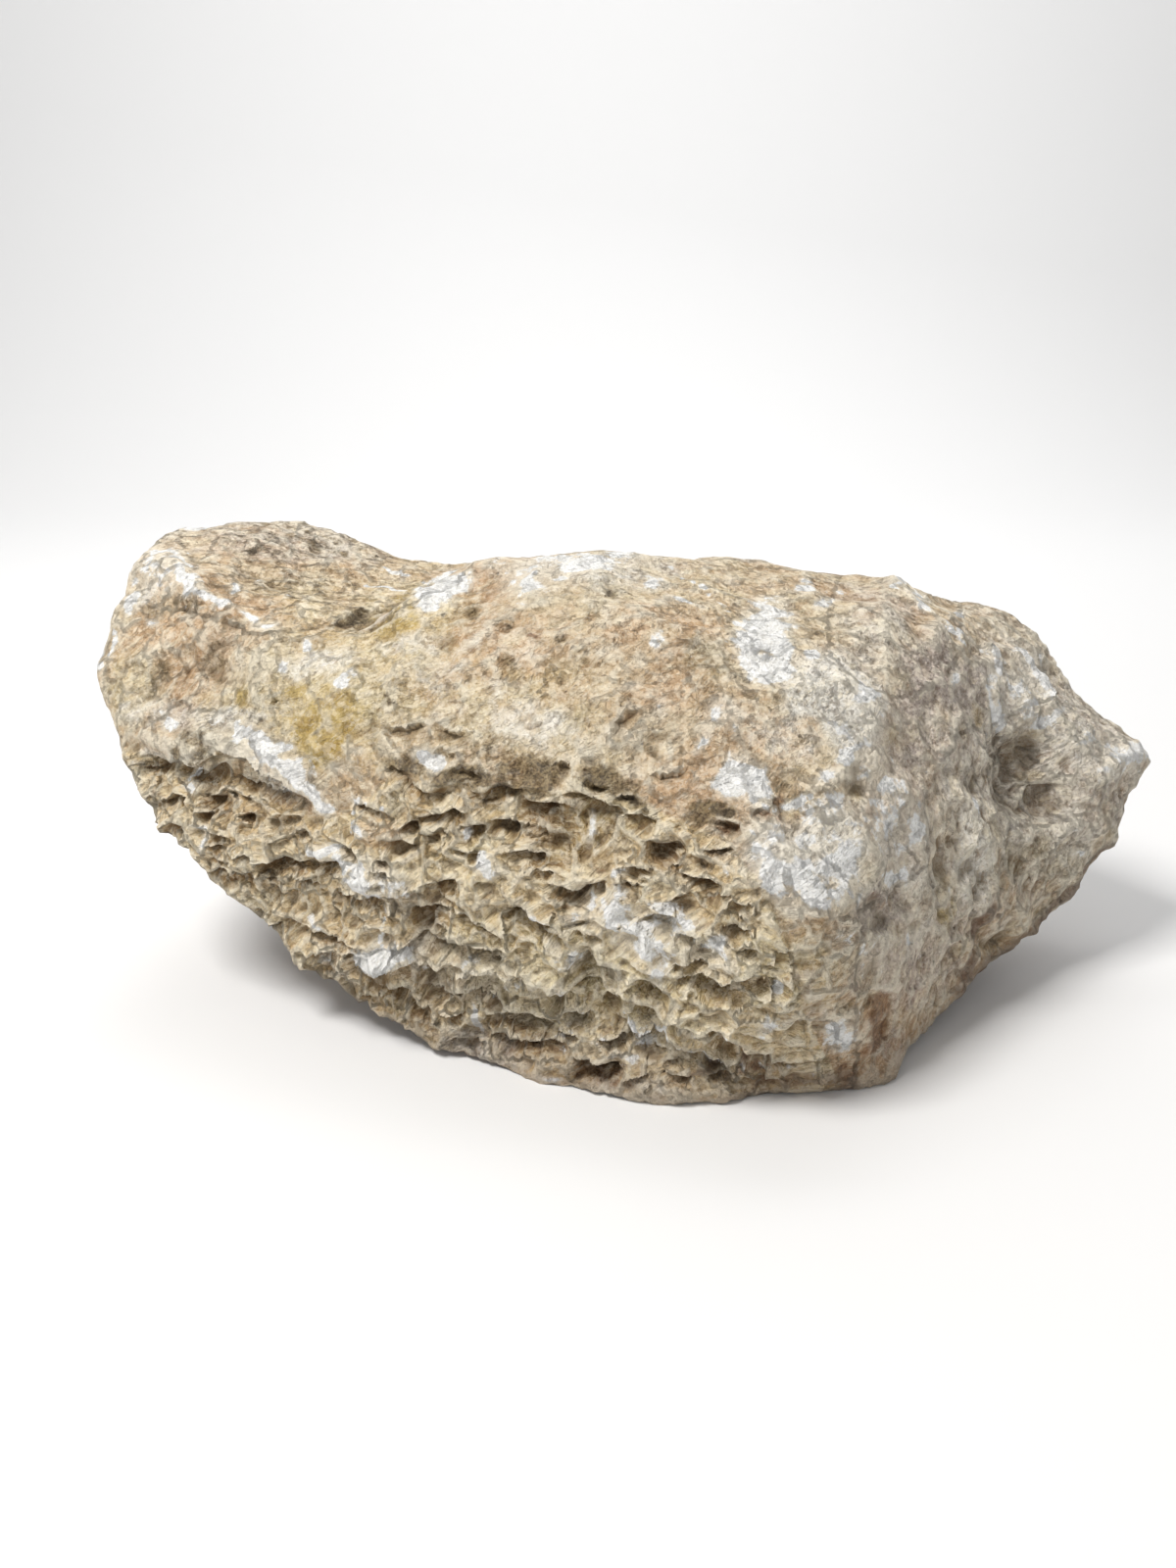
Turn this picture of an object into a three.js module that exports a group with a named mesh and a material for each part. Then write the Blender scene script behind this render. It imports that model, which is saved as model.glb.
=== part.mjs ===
// A rough boulder of honeycomb calcite, one solid stone that rests on a small flat spot.
//
// Its upper face is smooth and weathered. Under a brow that runs along its front, the lower
// face is honeycombed with scooped pockets between thin walls, in bands that ledges part.
// Its left end is a lower lobe past a saddle, and its right end is a broken flank with a
// hollow and a spur. Millimetres, +X to the right, +Y away from the viewer, +Z up. The
// origin is on the flat spot, at the middle of the stone's length and depth.
import * as THREE from "three";
import { ConvexHull } from "three/addons/math/ConvexHull.js";
import { mergeVertices } from "three/addons/utils/BufferGeometryUtils.js";

// The viewpoint that the front corners are given from.
const VIEW_DISTANCE = 420;
const VIEW_ELEVATION = THREE.MathUtils.degToRad(20);

// The stone's place: the flat spot's height, and the middle of the stone's length and depth,
// all from the point that the viewpoint looks at.
const FLOOR = -71;
const MIDDLE = { x: 15.6, y: 20.9 };

// The point inside the stone that its corners are spread around.
const HEART = new THREE.Vector3(30, 48, -8);

// Edge lengths of the finished surface, in the honeycomb and elsewhere.
const FINE_EDGE = 6.2;
const PLAIN_EDGE = 15;

// Swells and lumps of the weathered surface: how far apart, and how high.
const SWELL = { size: 46, height: 3.2 };
const LUMP = { size: 15, height: 1.3 };

// One honeycomb cell: its width, height and depth into the stone, and how deep a pocket is.
const CELL = { width: 15, height: 9.5, depth: 15, pocket: 5.4 };
const WALL_HEIGHT = 1.6;
const CELL_TILT = THREE.MathUtils.degToRad(-9);

// A point of the surface as it is seen: across and up on the plane through the middle of the
// stone, square to the line of sight, and nearer to the viewer than that plane.
function seen([across, up, nearer]) {
  const spread = 1 - nearer / VIEW_DISTANCE;
  const sine = Math.sin(VIEW_ELEVATION);
  const cosine = Math.cos(VIEW_ELEVATION);
  return new THREE.Vector3(
    spread * across,
    spread * up * sine - nearer * cosine,
    spread * up * cosine + nearer * sine
  );
}

// Where a point of the surface is seen, as across and up on that plane.
function asSeen(point) {
  const sine = Math.sin(VIEW_ELEVATION);
  const cosine = Math.cos(VIEW_ELEVATION);
  const away = point.y * cosine - point.z * sine;
  const spread = 1 + away / VIEW_DISTANCE;
  return { across: point.x / spread, up: (point.y * sine + point.z * cosine) / spread };
}

// The outline of the front view, clockwise from the left tip.
const SKYLINE = [
  [-152, 35, -15], [-148, 46, -19], [-141, 57.5, -24], [-137, 73, -35], [-126, 79.5, -52],
  [-112.5, 81, -68], [-90, 78, -80], [-75, 73, -80], [-60, 69, -72], [-48, 65, -58],
  [-39, 68, -8], [-24, 71, -6], [-9, 73, -8], [12, 73, -14], [27, 70, -20],
  [48, 68, -30], [72, 66, -40], [90, 62.5, -48], [108, 58.5, -52], [121, 57, -55],
  [132, 53.5, -55], [138.5, 47, -52],
];
const SPUR_OUTLINE = [
  [144, 36, -50], [154.5, 25, -50], [166, 17, -46], [173, 12.5, -40], [174.5, 8, -36],
  [173, 3, -35], [168, -4.5, -34], [161, -18, -34], [149, -34, -32], [136, -47, -28],
  [125, -57, -16], [109, -71, 2], [98, -79, 12], [91, -90, 25],
];
const FOOT_OUTLINE = [
  [87, -91, 27], [73, -91.5, 28], [60, -94, 32], [36, -98, 38], [24, -99, 39],
  [9, -98, 37], [-12, -95, 30], [-30, -89.5, 22], [-51, -80.5, 13], [-60, -71.5, 10],
];
const KEEL_OUTLINE = [
  [-69, -68, 6], [-90, -56, 0], [-95, -48.5, -1], [-105.5, -39, -3], [-116, -26, -6],
  [-124.5, -16, -8], [-133, -6.5, -10], [-140, 8, -11], [-144, 18, -12], [-150, 28, -14],
];

// The left lobe: the front edge of its flat top, the saddle, and its weathered front.
const LOBE_EDGE = [
  [-133.5, 69, -30], [-124.5, 62, -16], [-116, 57, -7], [-104, 50, 0], [-93, 46, 4],
  [-76.5, 46.5, 6], [-69, 48.6, 3],
];
const SADDLE = [
  [-50, 60, -42], [-57, 55, -22], [-66, 50.5, -6],
];
const LOBE_FRONT = [
  [-135, 58.5, -24], [-132, 48, -13], [-141, 33, -9], [-124.5, 45, -4], [-115.5, 43.5, -3],
  [-114, 33, -1], [-106.5, 39, 6], [-126, 27, -1], [-111, 21, 8], [-90, 33, 13],
  [-97.5, 18, 15], [-79.5, 30, 20],
];

// The lip that hangs over the left honeycomb, and the recess under it.
const LIP = [
  [-141.6, 15.6, -8], [-130.5, 11.4, 0], [-120, 8.7, 6], [-108, 7.2, 12], [-96, 3.9, 18],
  [-88.5, -0.9, 21], [-81, -9, 24],
];
const LIP_RECESS = [
  [-130.5, 7.5, -7], [-118.5, 3, -2], [-106.5, 1.5, 4], [-96, -3, 9], [-87, -10.5, 14],
];

// The bands of the honeycomb, and the two ledges that part them.
const UPPER_BAND = [
  [-123, -9, -3], [-111, -15, 6], [-96, -18, 13], [-84, -19.5, 18],
];
const UPPER_LEDGE = [
  [-120, -20.4, -3], [-105, -26.4, 7], [-91.5, -31, 13], [-78, -27, 22], [-70.5, -31.5, 27],
  [-63, -36, 28],
];
const MIDDLE_BAND = [
  [-112.5, -30, -2], [-99, -34.5, 5], [-84, -39, 12], [-73.5, -40.5, 18], [-99, -42, 2],
  [-84, -49.5, 10],
];
const LOWER_LEDGE = [
  [-73.5, -55, 16], [-64.5, -54, 22], [-51, -57.6, 26], [-33, -60, 32], [-16.5, -62.4, 37],
  [-1.5, -66.6, 41], [15, -69.6, 45], [30, -73.8, 47], [45, -79, 46], [60, -85, 42],
  [75, -88.8, 36],
];
const LOWER_BAND = [
  [-60, -62.4, 14], [-42, -64.5, 20], [-24, -66, 26], [-9, -69.6, 30], [9, -73.8, 36],
  [27, -78.6, 39], [43.5, -84.6, 38], [-39, -76.5, 18], [-18, -81, 26], [3, -87, 34],
  [24, -89.4, 38], [42, -90.6, 37],
];
const HONEYCOMB_FACE = [
  [-66, -15, 29], [-51, -9, 33], [-54, -30, 32], [-39, -21, 38], [-36, -42, 37],
  [-18, -24, 45], [-15, -45, 44], [-24, -9, 42], [0, -15, 50], [6, -36, 53],
  [6, -54, 49], [24, -24, 57], [27, -48, 56], [42, -36, 62], [48, -60, 57], [30, -63, 52],
];

// The brow over the honeycomb, and the weathered face above it.
const BROW = [
  [-60, 3, 33], [-45, 0, 38], [-24, 0, 45], [-9, -3, 49], [12, -4.5, 53], [27, -12, 57],
];
const WEATHERED_FACE = [
  [-46.5, 63.6, 0], [-53.4, 59.4, 4], [-60, 56.4, 7], [-66, 51.6, 6], [-63, 30, 27],
  [-75, 12, 27], [-54, 45, 20], [-36, 54, 16], [-18, 60, 12], [3, 63, 8], [24, 63, 4],
  [-45, 18, 33], [-36, 33, 30], [-18, 42, 30], [0, 48, 28], [24, 48, 28], [-12, 18, 41],
  [12, 24, 42], [36, 30, 43], [48, 48, 28], [30, 6, 50], [54, 6, 54],
];
const SHOULDER = [
  [48, 60, 0], [69, 58.5, -6], [90, 56.4, -14], [103, 56, -20], [75, 42, 26], [60, 30, 42],
  [81, 30, 36], [90, 45, 14], [101.4, 41.4, 8], [99, 33, 16], [90, 21.6, 30], [84, 12, 40],
];

// The near corner, where the front turns into the right flank.
const NEAR_CORNER = [
  [75, 3, 50], [60, -1.5, 54], [75, -9, 56], [91.5, 3, 42], [91.5, -15, 48], [90, -27, 52],
  [60, -18, 63], [69, -30, 64], [60, -45, 64], [72, -60, 58], [60, -72, 52], [75, -78, 45],
  [79.5, -34.5, 62], [81.6, -46.5, 58], [78.6, -57, 56], [80.4, -69, 50], [78.6, -81, 40],
];

// The right flank: the facet under the shoulder, the hollow, the scarp and the spur.
const FLANK_FACET = [
  [108, 51, -8], [123, 48, -28], [121.5, 33, -6], [115.5, 19.5, 8], [135, 30, -22],
  [138, 18, -13], [126, 15, -3],
];
const HOLLOW = [
  [136.5, 8, -15.5], [129, 0, -8], [138, -5, -15],
];
const HOLLOW_RIM = [
  [145.5, 15, -19], [148, 0, -16], [144, -13.5, -12], [126.6, -10.5, -2], [125.4, 3, 0],
];
const SPUR_FACE = [
  [142.5, 26, -30], [154, 15, -25], [163, 7.5, -22], [156, -1, -19], [158, -10, -22],
];
const FLANK_RIDGE = [
  [114, 3, 14], [108, 12, 20], [102, 0, 30], [117, -12, 14], [121, -21, 10],
  [121.5, -39, 8], [118.5, -49.5, 6],
];
const FLANK_FOOT = [
  [124.5, -24, 0], [126, -39, -6], [138, -27, -11], [149, -21, -18], [135, -37.5, -15],
  [105, -21, 30], [102, -42, 30], [90, -39, 44], [90, -54, 44], [105, -57, 18],
  [91.5, -66, 38], [97.5, -69, 24], [87, -81, 30],
];

// The back and the foot, which the viewpoint doesn't see, as plain places.
const BACK = [
  [-10, 75, 54], [40, 70, 54], [60, 98, 40], [0, 105, 42], [-50, 106, 36], [-95, 116, 45],
  [-130, 106, 42], [-150, 80, 25], [-150, 60, -5], [-122, 104, 4], [-72, 114, -6],
  [-4, 112, 2], [58, 106, 2], [112, 92, 14], [150, 70, -4], [160, 55, -22], [130, 60, -38],
  [-110, 78, -34], [-62, 92, -46], [0, 95, -50], [58, 88, -48], [104, 64, -50],
];
const FOOT = [
  [-38, -15, -72], [-40, 22, -72], [-8, 56, -72], [48, 60, -72], [84, 36, -72],
  [94, -5, -72],
];

const CORNERS = [
  ...[
    SKYLINE, SPUR_OUTLINE, FOOT_OUTLINE, KEEL_OUTLINE, LOBE_EDGE, SADDLE, LOBE_FRONT, LIP,
    LIP_RECESS, UPPER_BAND, UPPER_LEDGE, MIDDLE_BAND, LOWER_LEDGE, LOWER_BAND,
    HONEYCOMB_FACE, BROW, WEATHERED_FACE, SHOULDER, NEAR_CORNER, FLANK_FACET, HOLLOW,
    HOLLOW_RIM, SPUR_FACE, FLANK_RIDGE, FLANK_FOOT,
  ].flat().map(seen),
  ...[BACK, FOOT].flat().map((place) => new THREE.Vector3(...place)),
];

// The upper limit of the honeycomb on the front, as across and up.
const HONEYCOMB_TOP = [
  [-160, 18], [-120, 7], [-96, 2], [-84, -9], [-72, -8], [-60, 3], [-45, 0], [-24, 0],
  [12, -3], [27, -9], [42, -16], [54, -30], [60, -46], [66, -68], [78, -92], [90, -110],
];
const HONEYCOMB_FADE = 5;

// The patches of shallower honeycomb on the back: how far apart, how high they reach, and
// how deep their pockets are beside those of the front.
const BACK_PATCH = { size: 60, reach: 70, strength: 0.6 };

// A repeatable number from 0 to 1 for each point of a whole-number lattice.
function chance(i, j, k, salt) {
  let mixed = Math.imul(i, 374761393) ^ Math.imul(j, 668265263);
  mixed ^= Math.imul(k, 1274126177) ^ Math.imul(salt, 97531);
  mixed = Math.imul(mixed ^ (mixed >>> 13), 1103515245);
  mixed = Math.imul(mixed ^ (mixed >>> 15), 668265263);
  return ((mixed ^ (mixed >>> 16)) >>> 0) / 2 ** 32;
}

// Smooth noise from -1 to 1, with lumps about size apart.
function noise(point, size, salt) {
  const place = [point.x / size, point.y / size, point.z / size];
  const low = place.map(Math.floor);
  const ease = place.map((value, axis) => {
    const part = value - low[axis];
    return part * part * (3 - 2 * part);
  });
  let sum = 0;
  for (let corner = 0; corner < 8; corner++) {
    const step = [corner & 1, (corner >> 1) & 1, corner >> 2];
    const weight = step.reduce(
      (product, high, axis) => product * (high ? ease[axis] : 1 - ease[axis]),
      1
    );
    sum += weight * chance(low[0] + step[0], low[1] + step[1], low[2] + step[2], salt);
  }
  return 2 * sum - 1;
}

const clamp = THREE.MathUtils.clamp;
const smoothstep = THREE.MathUtils.smoothstep;

// The height of a line through given [place, height] points.
function lineHeight(line, place) {
  const next = line.findIndex(([end]) => end >= place);
  if (next < 0) return line[line.length - 1][1];
  if (next === 0) return line[0][1];
  const [x0, y0] = line[next - 1];
  const [x1, y1] = line[next];
  return y0 + ((y1 - y0) * (place - x0)) / (x1 - x0);
}

// How far into the honeycomb a point of the surface is, from 0 outside it to 1 inside. The
// front has it below its upper limit, and the back in patches.
function honeycomb(point, faces) {
  const { across, up } = asSeen(point);
  const below = lineHeight(HONEYCOMB_TOP, across) - up;
  const front = smoothstep(below, -HONEYCOMB_FADE / 2, HONEYCOMB_FADE);
  const patch = noise(point, BACK_PATCH.size, 5) - point.z / BACK_PATCH.reach;
  const back = BACK_PATCH.strength * smoothstep(patch, 0.1, 0.45);
  const above = smoothstep(point.z, FLOOR, FLOOR + HONEYCOMB_FADE);
  return above * THREE.MathUtils.lerp(front, back, smoothstep(faces.y, -0.15, 0.3));
}

// The honeycomb cell that holds a point: how far above its seed the point is, in cell
// heights, how close it is to a wall, and the cell's own chance.
function cellAt(point) {
  const cosine = Math.cos(CELL_TILT);
  const sine = Math.sin(CELL_TILT);
  const place = [
    (point.x * cosine + point.z * sine) / CELL.width,
    point.y / CELL.depth,
    (point.z * cosine - point.x * sine) / CELL.height,
  ];
  const home = place.map(Math.floor);
  let first = Infinity;
  let second = Infinity;
  let rise = 0;
  let luck = 0;
  for (let index = 0; index < 27; index++) {
    const cell = [index % 3, Math.floor(index / 3) % 3, Math.floor(index / 9)].map(
      (step, axis) => home[axis] + step - 1
    );
    const away = cell.map(
      (corner, axis) => place[axis] - corner - 0.5 - 0.8 * (chance(...cell, axis + 11) - 0.5)
    );
    const distance = Math.hypot(...away);
    if (distance < first) {
      second = first;
      first = distance;
      rise = away[2];
      luck = chance(...cell, 21);
    } else if (distance < second) {
      second = distance;
    }
  }
  return { rise, wall: second - first, luck };
}

// How far a pocket sinks the surface here: steep under its upper wall, shallow at its sill.
function pocketDepth(point) {
  const { rise, wall, luck } = cellAt(point);
  const open = smoothstep(wall, 0.02, 0.34);
  const scoop = clamp(0.55 + 0.95 * rise, 0.05, 1);
  return CELL.pocket * open * scoop * (0.35 + 0.85 * luck);
}

// A closed mesh of the corners: which three make a face follows from their bearings from
// the heart of the stone.
function cageOf(corners) {
  const bearings = corners.map((corner) => corner.clone().sub(HEART).normalize());
  const place = new Map(bearings.map((bearing, index) => [bearing, index]));
  const faces = new ConvexHull().setFromPoints(bearings).faces.map((face) => [
    place.get(face.edge.tail().point),
    place.get(face.edge.head().point),
    place.get(face.edge.next.head().point),
  ]);
  return { points: corners.map((corner) => corner.clone()), faces };
}

// The unit normals of a mesh at its points.
function normalsOf({ points, faces }) {
  const normals = points.map(() => new THREE.Vector3());
  for (const [a, b, c] of faces) {
    const side = points[b].clone().sub(points[a]);
    const cross = side.cross(points[c].clone().sub(points[a]));
    for (const index of [a, b, c]) normals[index].add(cross);
  }
  return normals.map((normal) => normal.normalize());
}

// Splits every edge that is over its longest length here, and the faces beside it.
function splitLongEdges({ points, faces }, longest) {
  const middles = new Map();
  const middleOf = (a, b) => {
    const key = a < b ? `${a},${b}` : `${b},${a}`;
    if (!middles.has(key)) {
      const middle = points[a].clone().add(points[b]).multiplyScalar(0.5);
      const long = points[a].distanceTo(points[b]) > longest(middle);
      middles.set(key, long ? points.push(middle) - 1 : null);
    }
    return middles.get(key);
  };
  const split = [];
  for (const face of faces) {
    const middle = face.map((corner, side) => middleOf(corner, face[(side + 1) % 3]));
    const cuts = middle.filter((index) => index !== null).length;
    if (cuts === 0) split.push(face);
    if (cuts === 1) {
      const side = middle.findIndex((index) => index !== null);
      const [a, b, c] = [0, 1, 2].map((turn) => face[(side + turn) % 3]);
      split.push([a, middle[side], c], [middle[side], b, c]);
    }
    if (cuts === 2) {
      const whole = middle.findIndex((index) => index === null);
      const [a, b, c] = [1, 2, 3].map((turn) => face[(whole + turn) % 3]);
      const [ab, bc] = [1, 2].map((turn) => middle[(whole + turn) % 3]);
      split.push([ab, b, bc], [a, ab, bc], [a, bc, c]);
    }
    if (cuts === 3) {
      const [a, b, c] = face;
      const [ab, bc, ca] = middle;
      split.push([a, ab, ca], [ab, b, bc], [ca, bc, c], [ab, bc, ca]);
    }
  }
  return { points, faces: split };
}

// Rounds a mesh's edges a little, by moving each point towards the middle of its neighbours,
// or with a share below nothing away from it, which gives back the size that rounding took.
function eased({ points, faces }, share) {
  const sums = points.map(() => ({ total: new THREE.Vector3(), count: 0 }));
  for (const face of faces) {
    for (const index of face) {
      for (const other of face) {
        if (other === index) continue;
        sums[index].total.add(points[other]);
        sums[index].count += 1;
      }
    }
  }
  const moved = points.map((point, index) => {
    const { total, count } = sums[index];
    return point.clone().lerp(total.divideScalar(count), share);
  });
  return { points: moved, faces };
}

// The stone: the cage made fine, eased, roughened, honeycombed, and flat at its foot.
function stoneMesh() {
  let mesh = cageOf(CORNERS);
  const edgeHere = (normals) => (point) => {
    const inside = honeycomb(point, normals);
    return THREE.MathUtils.lerp(PLAIN_EDGE, FINE_EDGE, inside);
  };
  const faceOf = (point) => point.clone().sub(HEART).normalize();
  for (let round = 0; round < 5; round++) {
    mesh = splitLongEdges(mesh, (point) => edgeHere(faceOf(point))(point));
  }
  mesh = eased(eased(mesh, 0.4), -0.35);
  const normals = normalsOf(mesh);
  mesh.points = mesh.points.map((point, index) => {
    const normal = normals[index];
    const inside = honeycomb(point, normal);
    const rough = SWELL.height * noise(point, SWELL.size, 1)
      + LUMP.height * noise(point, LUMP.size, 2);
    const sunk = inside * (pocketDepth(point) - WALL_HEIGHT);
    const moved = point.clone().addScaledVector(normal, rough - sunk);
    moved.z = Math.max(moved.z + 0.35 * sunk, FLOOR);
    return moved;
  });
  return mesh;
}

function geometryOf({ points, faces }) {
  const geometry = new THREE.BufferGeometry().setFromPoints(points);
  geometry.setIndex(faces.flat());
  geometry.translate(-MIDDLE.x, -MIDDLE.y, -FLOOR);
  return mergeVertices(geometry, 1e-3);
}

const calcite = new THREE.MeshStandardMaterial({
  color: "#cdb892",
  roughness: 0.85,
  metalness: 0,
});

const stone = new THREE.Mesh(geometryOf(stoneMesh()), calcite);
stone.name = "calcite_stone";

const specimen = new THREE.Group();
specimen.add(stone);

export default specimen;
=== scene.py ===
"""The looks of the honeycomb calcite specimen: one rough stone on a pale floor.

The stone is built in millimetres around the point that the camera looks at, from the same
corners as its solid, and is then moved to the frame of the solid, in metres. Where a form
or a marking is placed by how it is seen, its place is [x, y] in the 1200 by 1600 view.
"""
import math

import bmesh
import bpy
import numpy as np
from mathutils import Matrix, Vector


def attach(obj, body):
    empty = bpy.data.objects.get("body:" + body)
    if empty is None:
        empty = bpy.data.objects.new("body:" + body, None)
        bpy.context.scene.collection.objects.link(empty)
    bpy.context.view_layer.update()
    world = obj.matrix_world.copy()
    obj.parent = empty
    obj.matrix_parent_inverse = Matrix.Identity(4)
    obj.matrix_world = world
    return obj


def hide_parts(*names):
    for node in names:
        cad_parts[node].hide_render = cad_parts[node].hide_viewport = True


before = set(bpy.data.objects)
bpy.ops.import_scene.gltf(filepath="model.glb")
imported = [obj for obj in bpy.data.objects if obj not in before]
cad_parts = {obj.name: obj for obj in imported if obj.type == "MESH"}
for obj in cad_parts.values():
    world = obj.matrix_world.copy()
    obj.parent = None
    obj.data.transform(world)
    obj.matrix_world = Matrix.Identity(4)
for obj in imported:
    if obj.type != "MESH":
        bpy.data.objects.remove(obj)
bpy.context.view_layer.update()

# The viewpoint: how far away and how high it is, and the middle and scale of what it sees.
VIEW_DISTANCE = 420.0
VIEW_ELEVATION = math.radians(20)
VIEW_MIDDLE = (600, 800)
VIEW_SCALE = 0.3

# The stone's place: the flat spot's height, and the middle of its length and depth.
FLOOR = -71.0
MIDDLE = (15.6, 20.9)
MILLIMETRE = 0.001

# The point inside the stone that its corners are spread around.
HEART = (30.0, 48.0, -8.0)

# The outline of the front view, clockwise from the left tip.
SKYLINE = [
    [-152, 35, -15], [-148, 46, -19], [-141, 57.5, -24], [-137, 73, -35], [-126, 79.5, -52],
    [-112.5, 81, -68], [-90, 78, -80], [-75, 73, -80], [-60, 69, -72], [-48, 65, -58],
    [-39, 68, -8], [-24, 71, -6], [-9, 73, -8], [12, 73, -14], [27, 70, -20],
    [48, 68, -30], [72, 66, -40], [90, 62.5, -48], [108, 58.5, -52], [121, 57, -55],
    [132, 53.5, -55], [138.5, 47, -52],
]
SPUR_OUTLINE = [
    [144, 36, -50], [154.5, 25, -50], [166, 17, -46], [173, 12.5, -40], [174.5, 8, -36],
    [173, 3, -35], [168, -4.5, -34], [161, -18, -34], [149, -34, -32], [136, -47, -28],
    [125, -57, -16], [109, -71, 2], [98, -79, 12], [91, -90, 25],
]
FOOT_OUTLINE = [
    [87, -91, 27], [73, -91.5, 28], [60, -94, 32], [36, -98, 38], [24, -99, 39],
    [9, -98, 37], [-12, -95, 30], [-30, -89.5, 22], [-51, -80.5, 13], [-60, -71.5, 10],
]
KEEL_OUTLINE = [
    [-69, -68, 6], [-90, -56, 0], [-95, -48.5, -1], [-105.5, -39, -3], [-116, -26, -6],
    [-124.5, -16, -8], [-133, -6.5, -10], [-140, 8, -11], [-144, 18, -12], [-150, 28, -14],
]

# The left lobe: the front edge of its flat top, the saddle, and its weathered front.
LOBE_EDGE = [
    [-133.5, 69, -30], [-124.5, 62, -16], [-116, 57, -7], [-104, 50, 0], [-93, 46, 4],
    [-76.5, 46.5, 6], [-69, 48.6, 3],
]
SADDLE = [
    [-50, 60, -42], [-57, 55, -22], [-66, 50.5, -6],
]
LOBE_FRONT = [
    [-135, 58.5, -24], [-132, 48, -13], [-141, 33, -9], [-124.5, 45, -4], [-115.5, 43.5, -3],
    [-114, 33, -1], [-106.5, 39, 6], [-126, 27, -1], [-111, 21, 8], [-90, 33, 13],
    [-97.5, 18, 15], [-79.5, 30, 20],
]

# The lip that hangs over the left honeycomb, and the recess under it.
LIP = [
    [-141.6, 15.6, -8], [-130.5, 11.4, 0], [-120, 8.7, 6], [-108, 7.2, 12], [-96, 3.9, 18],
    [-88.5, -0.9, 21], [-81, -9, 24],
]
LIP_RECESS = [
    [-130.5, 7.5, -7], [-118.5, 3, -2], [-106.5, 1.5, 4], [-96, -3, 9], [-87, -10.5, 14],
]

# The bands of the honeycomb, and the two ledges that part them.
UPPER_BAND = [
    [-123, -9, -3], [-111, -15, 6], [-96, -18, 13], [-84, -19.5, 18],
]
UPPER_LEDGE = [
    [-120, -20.4, -3], [-105, -26.4, 7], [-91.5, -31, 13], [-78, -27, 22], [-70.5, -31.5, 27],
    [-63, -36, 28],
]
MIDDLE_BAND = [
    [-112.5, -30, -2], [-99, -34.5, 5], [-84, -39, 12], [-73.5, -40.5, 18], [-99, -42, 2],
    [-84, -49.5, 10],
]
LOWER_LEDGE = [
    [-73.5, -55, 16], [-64.5, -54, 22], [-51, -57.6, 26], [-33, -60, 32], [-16.5, -62.4, 37],
    [-1.5, -66.6, 41], [15, -69.6, 45], [30, -73.8, 47], [45, -79, 46], [60, -85, 42],
    [75, -88.8, 36],
]
LOWER_BAND = [
    [-60, -62.4, 14], [-42, -64.5, 20], [-24, -66, 26], [-9, -69.6, 30], [9, -73.8, 36],
    [27, -78.6, 39], [43.5, -84.6, 38], [-39, -76.5, 18], [-18, -81, 26], [3, -87, 34],
    [24, -89.4, 38], [42, -90.6, 37],
]
HONEYCOMB_FACE = [
    [-66, -15, 29], [-51, -9, 33], [-54, -30, 32], [-39, -21, 38], [-36, -42, 37],
    [-18, -24, 45], [-15, -45, 44], [-24, -9, 42], [0, -15, 50], [6, -36, 53],
    [6, -54, 49], [24, -24, 57], [27, -48, 56], [42, -36, 62], [48, -60, 57], [30, -63, 52],
]

# The brow over the honeycomb, and the weathered face above it.
BROW = [
    [-60, 3, 33], [-45, 0, 38], [-24, 0, 45], [-9, -3, 49], [12, -4.5, 53], [27, -12, 57],
]
WEATHERED_FACE = [
    [-46.5, 63.6, 0], [-53.4, 59.4, 4], [-60, 56.4, 7], [-66, 51.6, 6], [-63, 30, 27],
    [-75, 12, 27], [-54, 45, 20], [-36, 54, 16], [-18, 60, 12], [3, 63, 8], [24, 63, 4],
    [-45, 18, 33], [-36, 33, 30], [-18, 42, 30], [0, 48, 28], [24, 48, 28], [-12, 18, 41],
    [12, 24, 42], [36, 30, 43], [48, 48, 28], [30, 6, 50], [54, 6, 54],
]
SHOULDER = [
    [48, 60, 0], [69, 58.5, -6], [90, 56.4, -14], [103, 56, -20], [75, 42, 26], [60, 30, 42],
    [81, 30, 36], [90, 45, 14], [101.4, 41.4, 8], [99, 33, 16], [90, 21.6, 30], [84, 12, 40],
]

# The near corner, where the front turns into the right flank.
NEAR_CORNER = [
    [75, 3, 50], [60, -1.5, 54], [75, -9, 56], [91.5, 3, 42], [91.5, -15, 48], [90, -27, 52],
    [60, -18, 63], [69, -30, 64], [60, -45, 64], [72, -60, 58], [60, -72, 52], [75, -78, 45],
    [79.5, -34.5, 62], [81.6, -46.5, 58], [78.6, -57, 56], [80.4, -69, 50], [78.6, -81, 40],
]

# The right flank: the facet under the shoulder, the hollow, the scarp and the spur.
FLANK_FACET = [
    [108, 51, -8], [123, 48, -28], [121.5, 33, -6], [115.5, 19.5, 8], [135, 30, -22],
    [138, 18, -13], [126, 15, -3],
]
HOLLOW = [
    [136.5, 8, -15.5], [129, 0, -8], [138, -5, -15],
]
HOLLOW_RIM = [
    [145.5, 15, -19], [148, 0, -16], [144, -13.5, -12], [126.6, -10.5, -2], [125.4, 3, 0],
]
SPUR_FACE = [
    [142.5, 26, -30], [154, 15, -25], [163, 7.5, -22], [156, -1, -19], [158, -10, -22],
]
FLANK_RIDGE = [
    [114, 3, 14], [108, 12, 20], [102, 0, 30], [117, -12, 14], [121, -21, 10],
    [121.5, -39, 8], [118.5, -49.5, 6],
]
FLANK_FOOT = [
    [124.5, -24, 0], [126, -39, -6], [138, -27, -11], [149, -21, -18], [135, -37.5, -15],
    [105, -21, 30], [102, -42, 30], [90, -39, 44], [90, -54, 44], [105, -57, 18],
    [91.5, -66, 38], [97.5, -69, 24], [87, -81, 30],
]

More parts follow.
